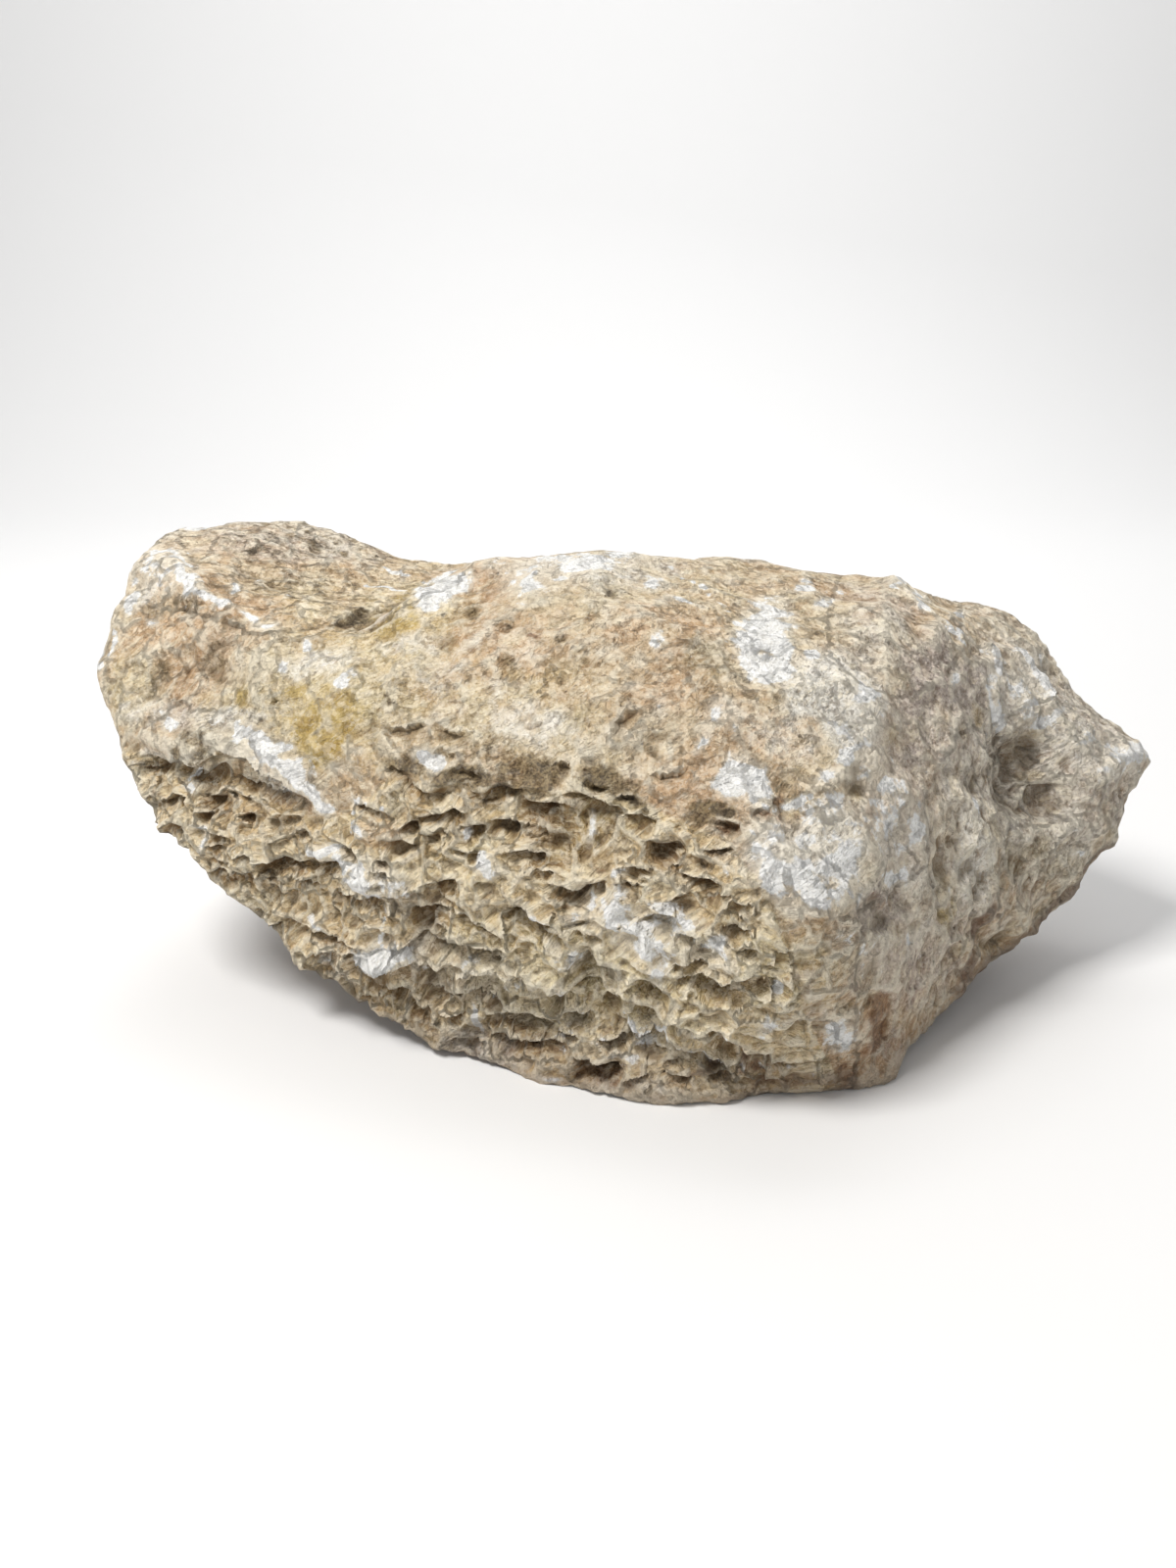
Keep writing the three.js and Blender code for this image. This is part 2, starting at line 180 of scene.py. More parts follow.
# The back and the foot, which the viewpoint doesn't see, as plain places.
BACK = [
    [-10, 75, 54], [40, 70, 54], [60, 98, 40], [0, 105, 42], [-50, 106, 36], [-95, 116, 45],
    [-130, 106, 42], [-150, 80, 25], [-150, 60, -5], [-122, 104, 4], [-72, 114, -6],
    [-4, 112, 2], [58, 106, 2], [112, 92, 14], [150, 70, -4], [160, 55, -22], [130, 60, -38],
    [-110, 78, -34], [-62, 92, -46], [0, 95, -50], [58, 88, -48], [104, 64, -50],
]
FOOT = [
    [-38, -15, -72], [-40, 22, -72], [-8, 56, -72], [48, 60, -72], [84, 36, -72],
    [94, -5, -72],
]

# The upper limit of the honeycomb on the front, as across and up.
HONEYCOMB_TOP = [
    [-160, 18], [-120, 7], [-96, 2], [-84, -9], [-72, -8], [-60, 3], [-45, 0], [-24, 0],
    [12, -3], [27, -9], [42, -16], [54, -30], [60, -46], [66, -68], [78, -92], [90, -110],
]
HONEYCOMB_FADE = 5

# The patches of shallower honeycomb on the back: how far apart, how high they reach, and
# how deep their pockets are beside those of the front.
BACK_PATCH_SIZE = 60
BACK_PATCH_REACH = 70
BACK_PATCH_STRENGTH = 0.6

# How fine the surface is made, as the longest edge where the camera looks and elsewhere,
# and the share of it on the plain front and how much less that is in the honeycomb.
FRONT_EDGE = 2.15
FRONT_EDGE_SHARES = (1.2, 0.38)
BACK_EDGE = 4.4
UNDER_EDGE = 9.0

# Swells and lumps of the weathered surface: how far apart, and how high.
SWELL = (46.0, 3.2)
LUMP = (15.0, 1.3)

# One honeycomb cell: its width, depth into the stone and height, how deep a pocket is, how
# the cells tilt, how scattered they are, where a wall ends and the pocket is whole, and how
# much shallower the scattered pockets are on the front.
CELL_SIZE = (15.0, 15.0, 9.5)
CELL_POCKET = 5.4
CELL_TILT = math.radians(-9)
CELL_SPREAD = 0.8
CELL_WALL = (0.02, 0.34)
CELL_LESS = 0.55
WALL_HEIGHT = 1.6

# The pockets of the front, one by one: [x and y of the middle of the upper rim, width,
# height, depth in millimetres, and how steeply the rim falls to the right in degrees].
UNDER_LIP_POCKETS = [
    [200, 769, 28, 15, 5, 25], [258, 776, 66, 13, 6, 18], [215, 784, 48, 18, 3, 0],
    [172, 772, 22, 11, 3.5, 5], [158, 786, 24, 11, 3, 0], [225, 811, 50, 16, 4, 8],
    [213, 828, 28, 11, 4, 10], [180, 812, 22, 10, 3, 0], [257, 835, 22, 8, 4.5, 5],
    [262, 797, 42, 9, 3, 15], [290, 805, 40, 10, 3, 22], [222, 851, 30, 11, 3.5, 0],
    [222, 866, 30, 9, 3, 5], [253, 869, 28, 8, 3, 0], [180, 838, 26, 10, 3, 10],
    [160, 812, 24, 10, 3, 10], [292, 838, 40, 9, 2.5, -10], [300, 856, 40, 9, 2.5, -12],
]
LEFT_BAND_POCKETS = [
    [290, 877, 54, 10, 4, 3], [333, 880, 42, 12, 4.5, 10], [308, 896, 32, 9, 3, 5],
    [225, 889, 42, 11, 3, 8], [262, 892, 46, 11, 3.5, 10], [278, 908, 20, 12, 3, 30],
    [263, 928, 24, 10, 3, 5], [270, 944, 32, 9, 4, 12], [300, 913, 22, 9, 2.5, 20],
    [352, 913, 28, 10, 3.5, 0], [368, 922, 28, 10, 4, 6], [386, 918, 24, 10, 4, 0],
    [328, 950, 32, 10, 2.5, 5], [330, 973, 38, 12, 4, 8], [336, 989, 36, 11, 3.5, 10],
    [360, 977, 24, 12, 3.5, 0], [383, 989, 36, 14, 6, 12], [350, 1001, 32, 10, 3, 8],
    [403, 1011, 26, 10, 4.5, 5], [425, 1025, 32, 11, 4, 6], [378, 1014, 30, 9, 3, 8],
]
BROW_POCKETS = [
    [466, 746, 56, 15, 2.4, 12], [420, 743, 40, 11, 1.6, 4], [450, 771, 38, 10, 2, 5],
    [574, 778, 24, 12, 3, 10], [602, 770, 24, 12, 1.8, -10], [740, 838, 24, 9, 5.5, 6],
    [508, 803, 32, 14, 3, 5], [642, 815, 26, 10, 2.4, 15], [612, 803, 28, 10, 2.4, 0],
    [690, 790, 38, 12, 2.6, -8], [736, 864, 36, 10, 3.2, -12], [797, 811, 20, 16, 1.4, 0],
    [776, 823, 18, 9, 1.6, 0], [416, 786, 44, 14, 2.4, 10], [480, 790, 40, 9, 2, -5],
    [640, 731, 34, 11, 1.8, -28], [671, 749, 34, 20, 1.4, -22], [709, 773, 18, 8, 1.2, -10],
    [834, 808, 24, 12, 1.0, 0], [818, 836, 26, 12, 1.0, -10], [848, 826, 20, 10, 0.9, 0],
]
UPPER_POCKETS = [
    [603, 812, 74, 46, 6, 12], [562, 819, 70, 42, 6, 14], [515, 838, 36, 13, 4.5, 5],
    [536, 872, 48, 15, 5.5, -4], [676, 862, 48, 17, 5.5, 10], [648, 833, 28, 13, 4, 20],
    [691, 884, 20, 9, 4.5, 5], [650, 886, 46, 10, 3.5, 3], [590, 903, 48, 15, 5.5, -14],
    [716, 896, 42, 13, 5, 8], [756, 943, 42, 9, 6.5, 6], [672, 938, 42, 17, 4, -6],
    [536, 934, 38, 27, 6, 18], [598, 951, 32, 19, 4.5, 20], [613, 980, 66, 34, 6.5, 14],
    [668, 1005, 38, 17, 6.5, 22], [740, 996, 84, 14, 6, 0], [715, 965, 22, 10, 5, 5],
    [700, 953, 24, 11, 4.5, 5], [710, 981, 46, 10, 4, 5], [759, 923, 26, 8, 3.5, 5],
    [547, 850, 34, 14, 4, 25], [480, 842, 36, 15, 4, 0], [452, 828, 52, 11, 4.5, 0],
    [416, 838, 24, 16, 4.5, -35], [436, 844, 30, 15, 3.5, 0], [410, 857, 30, 15, 4.5, 5],
    [478, 871, 32, 9, 3.5, 20], [398, 880, 22, 9, 3.5, 5], [392, 892, 22, 8, 3, 5],
    [416, 911, 32, 14, 3.5, -10], [450, 898, 32, 17, 4, 0], [437, 922, 52, 32, 6.5, 5],
    [478, 935, 38, 15, 4, 12], [560, 955, 34, 12, 3.5, 12], [641, 905, 34, 10, 3, 0],
    [735, 915, 34, 10, 3, 10], [700, 920, 34, 10, 3, -15], [380, 822, 38, 9, 3, 10],
    [500, 905, 34, 10, 2.5, 0], [555, 889, 30, 9, 3.5, 0], [625, 862, 40, 12, 2.5, -5],
    [772, 965, 34, 10, 2.5, 5], [580, 925, 40, 11, 2.5, 5],
]
LOWER_BAND_POCKETS = [
    [440, 961, 86, 24, 6, 4], [497, 967, 34, 15, 4.5, 4], [506, 982, 52, 12, 5, 3],
    [430, 992, 82, 13, 5.5, 8], [500, 1001, 74, 15, 6, 4], [560, 1009, 62, 14, 5.5, 14],
    [620, 1020, 58, 13, 5.5, 4], [675, 1031, 56, 13, 5.5, 16], [728, 1050, 62, 12, 5, 24],
    [776, 1073, 52, 11, 4.5, 24], [474, 1015, 38, 11, 4.5, 10], [500, 1021, 38, 11, 4.5, 14],
    [538, 1040, 54, 14, 5.5, 8], [503, 1037, 24, 10, 4, 0], [625, 1032, 36, 12, 4, 5],
    [553, 1063, 46, 11, 4.5, 4], [515, 1060, 42, 13, 4.5, 12], [606, 1085, 64, 15, 6, 10],
    [630, 1057, 36, 13, 5, 0], [662, 1050, 40, 13, 4.5, 5], [685, 1082, 20, 8, 4, 0],
    [738, 1094, 26, 8, 5, 0], [662, 1068, 36, 11, 4, 5], [650, 1102, 26, 9, 4, 0],
    [700, 1065, 40, 11, 4, 15], [590, 1035, 38, 11, 4, 10], [577, 1052, 34, 10, 3.5, 10],
    [446, 1012, 30, 10, 4, 5], [460, 1035, 30, 10, 3.5, 8], [470, 1062, 34, 10, 3, 10],
    [690, 1100, 40, 9, 3.5, 5], [735, 1075, 40, 10, 3.5, 18],
]
FRONT_POCKETS = (
    UNDER_LIP_POCKETS + LEFT_BAND_POCKETS + BROW_POCKETS + UPPER_POCKETS
    + LOWER_BAND_POCKETS
)

# What bends the forms and marks of the front, in millimetres: the size and strength of
# smooth bends, of breaks across and up, and of the small jags of the pockets' rims. Then
# how much of it each kind takes.
SMOOTH_BENDS = (9, 2.4)
BREAKS = (7, 6, 2.6)
JAGS = (3.4, 1.1)
BENT = {"pockets": 0.8, "lines": 0.5, "crests": 0.7, "dents": 1.5, "marks": 0.8}

# How much deeper the pockets are than listed, how far down they reach and how much less
# at their ends, how soon they drop, how far their rims' ends hang, all in their heights,
# how round they are, and how far they lift the surface.
POCKET_DEEPEN = 1.5
POCKET_REACH = 1.9
POCKET_TAPER = 0.6
POCKET_DROP = 0.1
POCKET_ARCH = 0.16
POCKET_ROUND = 0.8
POCKET_LIFT = 0.3

# How the pockets are worn, in patches of a size in millimetres: the share of its depth
# that a worn one keeps, and how much more the others keep. Then how much deeper the
# lowest ones are, and where down the view that begins and is whole.
POCKET_WORN = (6, 0.62, 0.55)
LOW_DEEPEN = 0.25
LOW_FROM = (950, 1010)

# The lip above a pocket: where it starts and ends, in the pocket's heights, and its height.
RIM_BAND = (-0.4, -0.02)
RIM_LIP = 0.5

# The ledges: the size of their broken stretches in millimetres, how far in the view they
# take to rise at their ends, and how deep the faces below them are, as a share of what is
# listed.
BROKEN_SIZE = 13
LEDGE_FADE = 24
LEDGE_DEEPEN = 0.8

# How much of the pockets and of the chips is left at the stone's outline, and how far from
# it, as the cosine of the angle to the line of sight, they start to grow and are whole.
OUTLINE_POCKETS = (0.35, 0.08, 0.4)
OUTLINE_CHIPS = (0.3, 0.08, 0.45)

# The scallops that the chips are made of: how scattered they are, in their own sizes, and
# how far they slant. Then a distance in cells that is over any to a seed.
SCALLOP_SPREAD = 0.9
SCALLOP_SLANT = 1.1
FAR = 9.0

# The rough surface: the size of each layer in millimetres, then how high it stands
# everywhere, how much more in the honeycomb, and how much more for strands or rubble.
SLABS = (18, 2.2)
FLAKES = (8, 0.6, 1.5, 1.0)
SPLINTERS = (3.8, 0.3, 1.0, 1.7)
GRIT = (2.4, 0.16, 0.2, 0.7)
STRANDS = (2.6, 0.2, 0.9, 1.0)
HAIRS = (1.3, 0.15, 0.3, 0.3)

# Where across the view the broken flank begins and is whole, and how much higher its
# flakes and splinters are.
FLANK_FROM = (915, 965)
FLANK_CHIPS = (1.3, 1.0)

# How the fibres lie, in degrees: plainly, the first pocket's turn and the range of the
# others, how much a chip turns them, and the back's turn and range. Then how much shorter
# the noise is along them and through them.
PLAIN_TURN = 25.0
POCKET_TURNS = (-20, 85)
CHIP_TURN = 36
BACK_TURNS = (20, 60)
FIBRE_STRETCH = (0.1, 0.35)

# Lines that stand out of the front: [x and y along the line], how wide and how high.
RAISED_LINES = [
    ([[215, 752], [236, 760], [260, 763], [285, 771], [303, 790], [328, 826]], 13, 2.2),
    ([[150, 752], [176, 757], [205, 757]], 12, 1.2),
    ([[362, 812], [375, 816], [400, 822]], 5, 0.8), ([[361, 820], [361, 850]], 4, 0.7),
    ([[320, 866], [345, 872], [358, 890], [380, 908], [398, 930]], 8, 1.4),
    ([[596, 835], [600, 850], [606, 870]], 6, 1.6), ([[540, 905], [600, 940]], 7, 1.0),
    ([[626, 890], [640, 925], [652, 950], [668, 985]], 8, 1.2),
    ([[668, 930], [690, 935], [712, 955]], 6, 1.1), ([[737, 955], [745, 985]], 7, 1.1),
    ([[645, 1045], [700, 1062], [755, 1082], [800, 1092]], 7, 1.3),
    ([[1040, 672], [1055, 700], [1062, 728], [1090, 748]], 8, 1.8),
    ([[1006, 660], [1016, 700], [1024, 735], [1045, 752]], 7, 1.4),
    ([[432, 608], [450, 592], [478, 578]], 8, 1.0), ([[528, 606], [545, 580]], 8, 1.0),
    ([[908, 604], [948, 622], [985, 660]], 6, 1.2),
    ([[150, 588], [178, 584], [200, 600], [235, 618]], 7, 1.2),
]

# Hollows with soft edges: [x, y, half width, half height, turn in degrees, depth].
DENTS = [
    [1048, 770, 24, 34, -8, 2.8], [1070, 802, 17, 26, 12, 2.4], [1034, 808, 12, 22, 0, 2.2],
    [1054, 738, 11, 14, 0, 1.6], [1050, 800, 40, 56, -8, 1.5], [896, 934, 24, 17, 35, 1.8],
    [926, 920, 20, 12, -20, 1.6], [965, 935, 18, 12, 25, 1.6], [1018, 955, 16, 28, 25, 2.0],
    [218, 676, 15, 24, 0, 1.0], [196, 620, 26, 12, 20, 1.0], [165, 695, 12, 26, 25, 1.0],
    [470, 615, 26, 9, -12, 1.0], [516, 648, 18, 7, -15, 1.1], [520, 676, 20, 6, -25, 1.1],
    [620, 608, 9, 7, 0, 0.9], [265, 650, 10, 6, 0, 0.7], [285, 712, 5, 5, 0, 2.0],
    [980, 700, 40, 30, 20, 1.2], [890, 665, 18, 12, 0, 1.2], [880, 800, 14, 22, 0, 1.5],
    [894, 1035, 14, 26, 20, 1.8], [815, 830, 22, 16, 0, 1.2], [375, 630, 30, 10, -20, 1.5],
]

# Ledges that overhang what is below them: [x and y along the edge], how high the edge
# stands and how deep the face below it is, in millimetres, and how far that reaches.
LEDGES = [
    ([[145, 772], [200, 771], [240, 775], [272, 784], [300, 801], [330, 834]], 1.0, 3.4, 30),
    ([[195, 870], [250, 884], [285, 876], [325, 870], [350, 885], [370, 912], [404, 932]],
     1.0, 2.4, 26),
    ([[250, 938], [300, 945], [345, 962], [395, 968], [440, 954], [480, 964], [530, 975],
      [575, 992], [625, 970], [665, 990], [700, 1000], [780, 998]], 0.8, 2.4, 22),
    ([[330, 985], [385, 992], [430, 990], [500, 999], [560, 1007], [620, 1018], [680, 1030],
      [730, 1048], [780, 1072], [830, 1090]], 1.2, 3.0, 28),
    ([[395, 792], [440, 800], [500, 806], [545, 804], [590, 800], [625, 812], [660, 838],
      [700, 866], [730, 880], [775, 884]], 0.8, 2.8, 44),
    ([[470, 1048], [530, 1038], [590, 1040], [650, 1050], [700, 1064], [760, 1088]],
     0.8, 2.4, 20),
    ([[400, 925], [440, 908], [480, 928], [520, 930], [550, 926], [600, 944], [640, 968]],
     0.6, 1.8, 24),
]

# Sharp crests where two faces of the front meet: [x and y along the crest], how far its
# two sides reach, and how high it stands.
CRESTS = [
    ([[905, 604], [900, 660], [897, 700], [890, 738], [868, 772], [845, 806]], 55, 3.0),
    ([[1040, 672], [1055, 700], [1062, 728], [1098, 750]], 42, 3.0),
    ([[870, 790], [885, 850], [905, 880]], 40, 2.0),
    ([[925, 815], [940, 845], [943, 885], [930, 925]], 34, 2.6),
    ([[955, 955], [935, 1000], [915, 1045], [893, 1092]], 46, 2.6),
    ([[1023, 915], [1060, 900], [1088, 888]], 30, 1.6),
    ([[432, 608], [420, 645], [404, 690], [392, 745]], 50, 1.8),
    ([[235, 560], [205, 600], [215, 640]], 34, 1.4),
    ([[130, 640], [150, 600], [178, 584]], 30, 1.8),
    ([[620, 620], [690, 640], [735, 690], [755, 740]], 50, 1.4),
    ([[480, 640], [540, 630], [600, 655], [640, 720]], 46, 1.3),
    ([[762, 905], [800, 930], [868, 935], [905, 960]], 34, 1.6),
]

# Steps that face left on the flank: [x and y down the step], how high and how far it reaches.
STEPS = [
    ([[972, 810], [988, 850], [1003, 900], [1004, 950]], 3.4, 90),
    ([[1018, 725], [1026, 760], [1022, 800], [1030, 840]], -2.6, 70),
    ([[940, 640], [952, 680], [950, 730], [962, 780]], 2.0, 60),
    ([[262, 640], [250, 680], [262, 725]], 1.4, 50),
]

# Markings of the front, as patches: [x, y, half width, half height, turn in degrees, share].
WHITE_CRUST = [
    [800, 870, 34, 40, 0, 0.55], [850, 860, 40, 44, 0, 0.5], [835, 905, 50, 26, 0, 0.6],
    [870, 760, 30, 34, -30, 0.45], [910, 830, 22, 60, -8, 0.45], [640, 945, 60, 26, 30, 0.4],
    [385, 900, 40, 24, 30, 0.4], [395, 980, 36, 22, 0, 0.45], [700, 960, 60, 26, 15, 0.35],
    [590, 572, 60, 14, 0, 0.5], [160, 580, 40, 26, 20, 0.4], [1050, 700, 24, 50, -20, 0.4],
    [880, 960, 40, 60, 0, 0.25], [1130, 770, 50, 20, 10, 0.35], [540, 590, 40, 26, 0, 0.35],
    [280, 780, 60, 24, 35, 0.4], [470, 1000, 160, 40, 14, 0.2], [640, 1070, 140, 30, 12, 0.2],
    [782, 640, 26, 26, 0, 1.0], [790, 672, 24, 20, 10, 1.0], [765, 640, 16, 10, 0, 0.9],
    [770, 668, 10, 22, 0, 0.8], [832, 668, 20, 9, -15, 0.55], [762, 790, 20, 16, 20, 1.0],
    [748, 797, 16, 12, 0, 0.9], [772, 806, 18, 12, 30, 0.8], [455, 594, 24, 8, -32, 1.0],
    [436, 606, 12, 8, -20, 0.9], [538, 592, 8, 20, 18, 0.9], [575, 591, 12, 5, -25, 0.9],
    [600, 572, 34, 9, -4, 0.95], [640, 562, 30, 6, 4, 0.8], [590, 563, 30, 5, 0, 0.6],
    [671, 594, 14, 7, -12, 0.7], [694, 611, 20, 3.5, 4, 0.6], [672, 655, 7, 11, 0, 0.45],
    [718, 756, 6, 14, 38, 0.7], [440, 777, 14, 7, 32, 0.85], [448, 731, 10, 5, 0, 0.45],
    [529, 619, 6, 3, 0, 0.7], [646, 699, 9, 6, 0, 0.4], [740, 722, 18, 16, -30, 0.45],
    [673, 721, 9, 14, 0, 0.35], [198, 539, 14, 4, -8, 0.9], [165, 566, 15, 4.5, 5, 0.9],
    [190, 596, 15, 6, 35, 1.0], [219, 612, 19, 4.5, 25, 0.95], [155, 589, 9, 5, 0, 0.9],
    [162, 639, 6, 4.5, 0, 0.9], [253, 630, 9, 3.5, 25, 0.95], [272, 638, 12, 3.5, -8, 0.95],
    [261, 594, 5, 2.5, 0, 0.8], [241, 602, 5, 3, -30, 0.8], [317, 660, 5, 8, 10, 1.0],
    [297, 680, 6, 8, 0, 0.9], [351, 700, 7, 6, 30, 0.9], [361, 688, 6, 5, 0, 0.6],
    [117, 660, 4, 11, 10, 0.8], [105, 681, 5, 6, 0, 0.8], [139, 620, 6, 11, 20, 0.8],
    [176, 741, 7, 6, 0, 0.75], [167, 730, 6, 4, 30, 0.6], [290, 548, 5, 2, 0, 0.7],
    [843, 616, 12, 8, -25, 0.7], [819, 603, 8, 3.5, 0, 0.8], [879, 710, 12, 11, 0, 0.75],
    [964, 644, 6, 5, 0, 0.8], [982, 623, 7, 4.5, 20, 0.7], [970, 694, 3.5, 10, 0, 0.7],
    [1011, 682, 8, 26, -12, 0.55], [1051, 694, 7, 26, -20, 0.85], [1063, 738, 9, 8, 0, 0.85],
    [1024, 731, 6, 13, -25, 0.7], [904, 800, 9, 13, 10, 0.95], [868, 770, 20, 9, -35, 0.8],
    [843, 794, 14, 7, -20, 0.75], [990, 820, 5, 5, 0, 0.8], [935, 842, 9, 22, -12, 0.75],
    [1152, 770, 20, 6, 8, 0.8], [1166, 764, 5, 6, 0, 0.8], [942, 615, 14, 5, 30, 0.6],
    [787, 893, 11, 20, 10, 0.75], [824, 857, 14, 14, 0, 0.6], [853, 888, 28, 16, 10, 0.8],
    [846, 912, 22, 7, 5, 0.8], [794, 909, 14, 8, 10, 0.75], [868, 872, 16, 14, 0, 0.6],
    [920, 900, 15, 8, 0, 0.6], [930, 956, 10, 10, 0, 0.55], [886, 975, 9, 10, 30, 0.5],
    [857, 1055, 16, 13, -20, 0.7], [789, 1011, 6, 6, 0, 0.85], [782, 1047, 11, 6, 0, 0.45],
    [1103, 870, 5, 6, 0, 0.6], [1090, 843, 10, 7, 0, 0.4], [880, 905, 14, 8, 0, 0.6],
    [364, 815, 7, 5, 0, 1.0], [368, 847, 8, 5, 40, 0.9], [334, 868, 13, 6, 5, 1.0],
    [349, 883, 12, 8, 40, 0.95], [372, 905, 20, 10, 30, 0.85], [385, 917, 10, 6, 0, 0.8],
    [393, 978, 16, 14, 10, 1.0], [372, 985, 12, 9, 20, 0.8], [498, 885, 10, 10, 0, 0.95],
    [506, 895, 9, 8, 0, 0.8], [206, 846, 9, 5, 10, 0.85], [197, 806, 7, 6, 30, 0.75],
    [205, 860, 4, 14, 0, 0.5], [322, 945, 12, 4, 35, 0.5], [600, 850, 5, 16, 0, 0.55],
    [470, 852, 4, 6, -20, 0.8], [630, 893, 9, 8, 0, 0.6], [626, 935, 10, 14, 0, 0.7],
    [645, 948, 14, 8, 20, 0.85], [655, 965, 12, 8, 20, 0.8], [672, 990, 12, 14, 0, 0.65],
    [678, 930, 14, 6, 10, 0.8], [702, 944, 12, 5, 30, 0.65], [735, 965, 10, 14, 10, 0.7],
    [745, 980, 8, 9, 0, 0.6], [584, 985, 7, 14, 20, 0.6], [565, 975, 12, 5, 30, 0.5],
    [548, 938, 14, 5, 30, 0.55], [580, 940, 9, 7, 0, 0.5], [627, 915, 8, 12, 0, 0.5],
    [482, 1045, 3.5, 14, -12, 0.75], [478, 996, 9, 6, 10, 0.5], [575, 1010, 8, 6, 0, 0.5],
    [330, 990, 12, 7, 30, 0.5], [348, 1006, 12, 6, 20, 0.6], [740, 1058, 14, 7, 28, 0.5],
    [636, 1082, 20, 4, 5, 0.5], [700, 1048, 14, 5, 25, 0.4], [560, 1100, 16, 4, 10, 0.5],
    [475, 1088, 14, 4, 25, 0.5],
]
WHITE_LINES = [
    ([[258, 748], [274, 762], [292, 776], [306, 790], [318, 806], [332, 828]], 11),
    ([[244, 742], [256, 756]], 10), ([[286, 766], [300, 760]], 7),
    ([[373, 595], [392, 598], [412, 604]], 2.5), ([[392, 583], [419, 590]], 2.0),
    ([[677, 567], [700, 586], [722, 598], [745, 618], [755, 636]], 1.5),
    ([[361, 815], [360, 852]], 2.2), ([[371, 817], [398, 823]], 1.6),
    ([[388, 928], [390, 972]], 1.8), ([[905, 606], [930, 606], [950, 622], [985, 660]], 2.2),
    ([[160, 562], [178, 570], [186, 584]], 4.0), ([[757, 812], [790, 824], [830, 812]], 4.0),
    ([[1006, 700], [1018, 730], [1030, 745]], 2.5), ([[762, 845], [775, 870]], 4.0),
    ([[640, 1045], [700, 1062], [760, 1085]], 2.0), ([[205, 780], [195, 800]], 2.5),
]
AMBER = [
    [330, 748, 30, 36, 0, 1.0], [345, 720, 26, 16, 0, 0.7], [249, 713, 11, 12, 0, 0.85],
    [306, 707, 14, 9, 0, 0.75], [412, 622, 14, 16, 0, 1.0], [395, 634, 22, 14, -20, 0.7],
    [267, 763, 6, 6, 0, 0.8], [1062, 752, 9, 8, 0, 0.6], [1062, 790, 14, 10, 0, 0.4],
    [814, 820, 22, 14, 0, 0.5], [877, 808, 8, 14, 0, 0.5], [962, 936, 9, 12, 0, 0.7],
    [975, 925, 6, 10, 0, 0.6], [905, 752, 8, 10, 0, 0.4], [1000, 730, 8, 12, 0, 0.5],
    [700, 955, 20, 12, 0, 0.4], [655, 940, 12, 8, 0, 0.4], [985, 965, 8, 10, 0, 0.4],
]
PEACH = [
    [640, 650, 26, 14, -15, 0.8], [660, 618, 10, 8, 0, 0.8], [684, 708, 36, 18, -15, 0.8],
    [545, 668, 16, 20, 0, 0.6], [730, 750, 22, 20, 0, 0.5], [800, 755, 42, 30, 25, 0.6],
    [770, 735, 26, 14, 0, 0.6], [165, 650, 38, 20, -15, 0.8], [700, 690, 26, 14, 0, 0.5],
    [390, 850, 26, 20, 0, 0.7], [385, 835, 22, 10, 0, 0.5], [465, 640, 10, 8, 0, 0.7],
    [178, 598, 14, 8, 10, 0.6], [110, 690, 10, 14, 0, 0.5], [1050, 730, 16, 14, 0, 0.4],
    [605, 690, 26, 22, 0, 0.35], [660, 760, 22, 16, 0, 0.35], [250, 655, 20, 14, 0, 0.4],
]
CREAM = [
    [800, 752, 44, 26, 20, 0.45], [775, 735, 30, 16, 0, 0.4],
    [843, 703, 38, 32, -10, 1.5], [860, 745, 30, 20, 20, 1.2], [540, 735, 60, 26, 10, 0.5],
    [620, 590, 40, 16, 0, 0.5], [240, 735, 40, 12, 0, 0.6], [150, 725, 30, 14, 0, 0.5],
    [330, 680, 40, 18, -20, 0.6], [420, 655, 40, 16, 0, 0.5], [845, 860, 36, 36, 0, 0.7],
    [790, 870, 26, 30, 0, 0.5], [150, 610, 16, 20, 0, 0.5], [170, 770, 30, 8, 0, 0.5],
    [820, 1030, 40, 30, 0, 0.35], [880, 720, 20, 40, 0, 0.6], [445, 690, 40, 22, 0, 0.4],
    [500, 700, 40, 24, 0, 0.3], [490, 1075, 50, 16, 22, 0.6], [640, 1118, 60, 12, 3, 0.4],
    [230, 770, 50, 8, 5, 0.4], [620, 995, 30, 18, 0, 0.5], [990, 880, 14, 70, -6, 0.7],
    [1120, 760, 50, 20, 10, 0.4], [1150, 790, 24, 18, 0, 0.4], [520, 660, 60, 26, 0, 0.3],
]
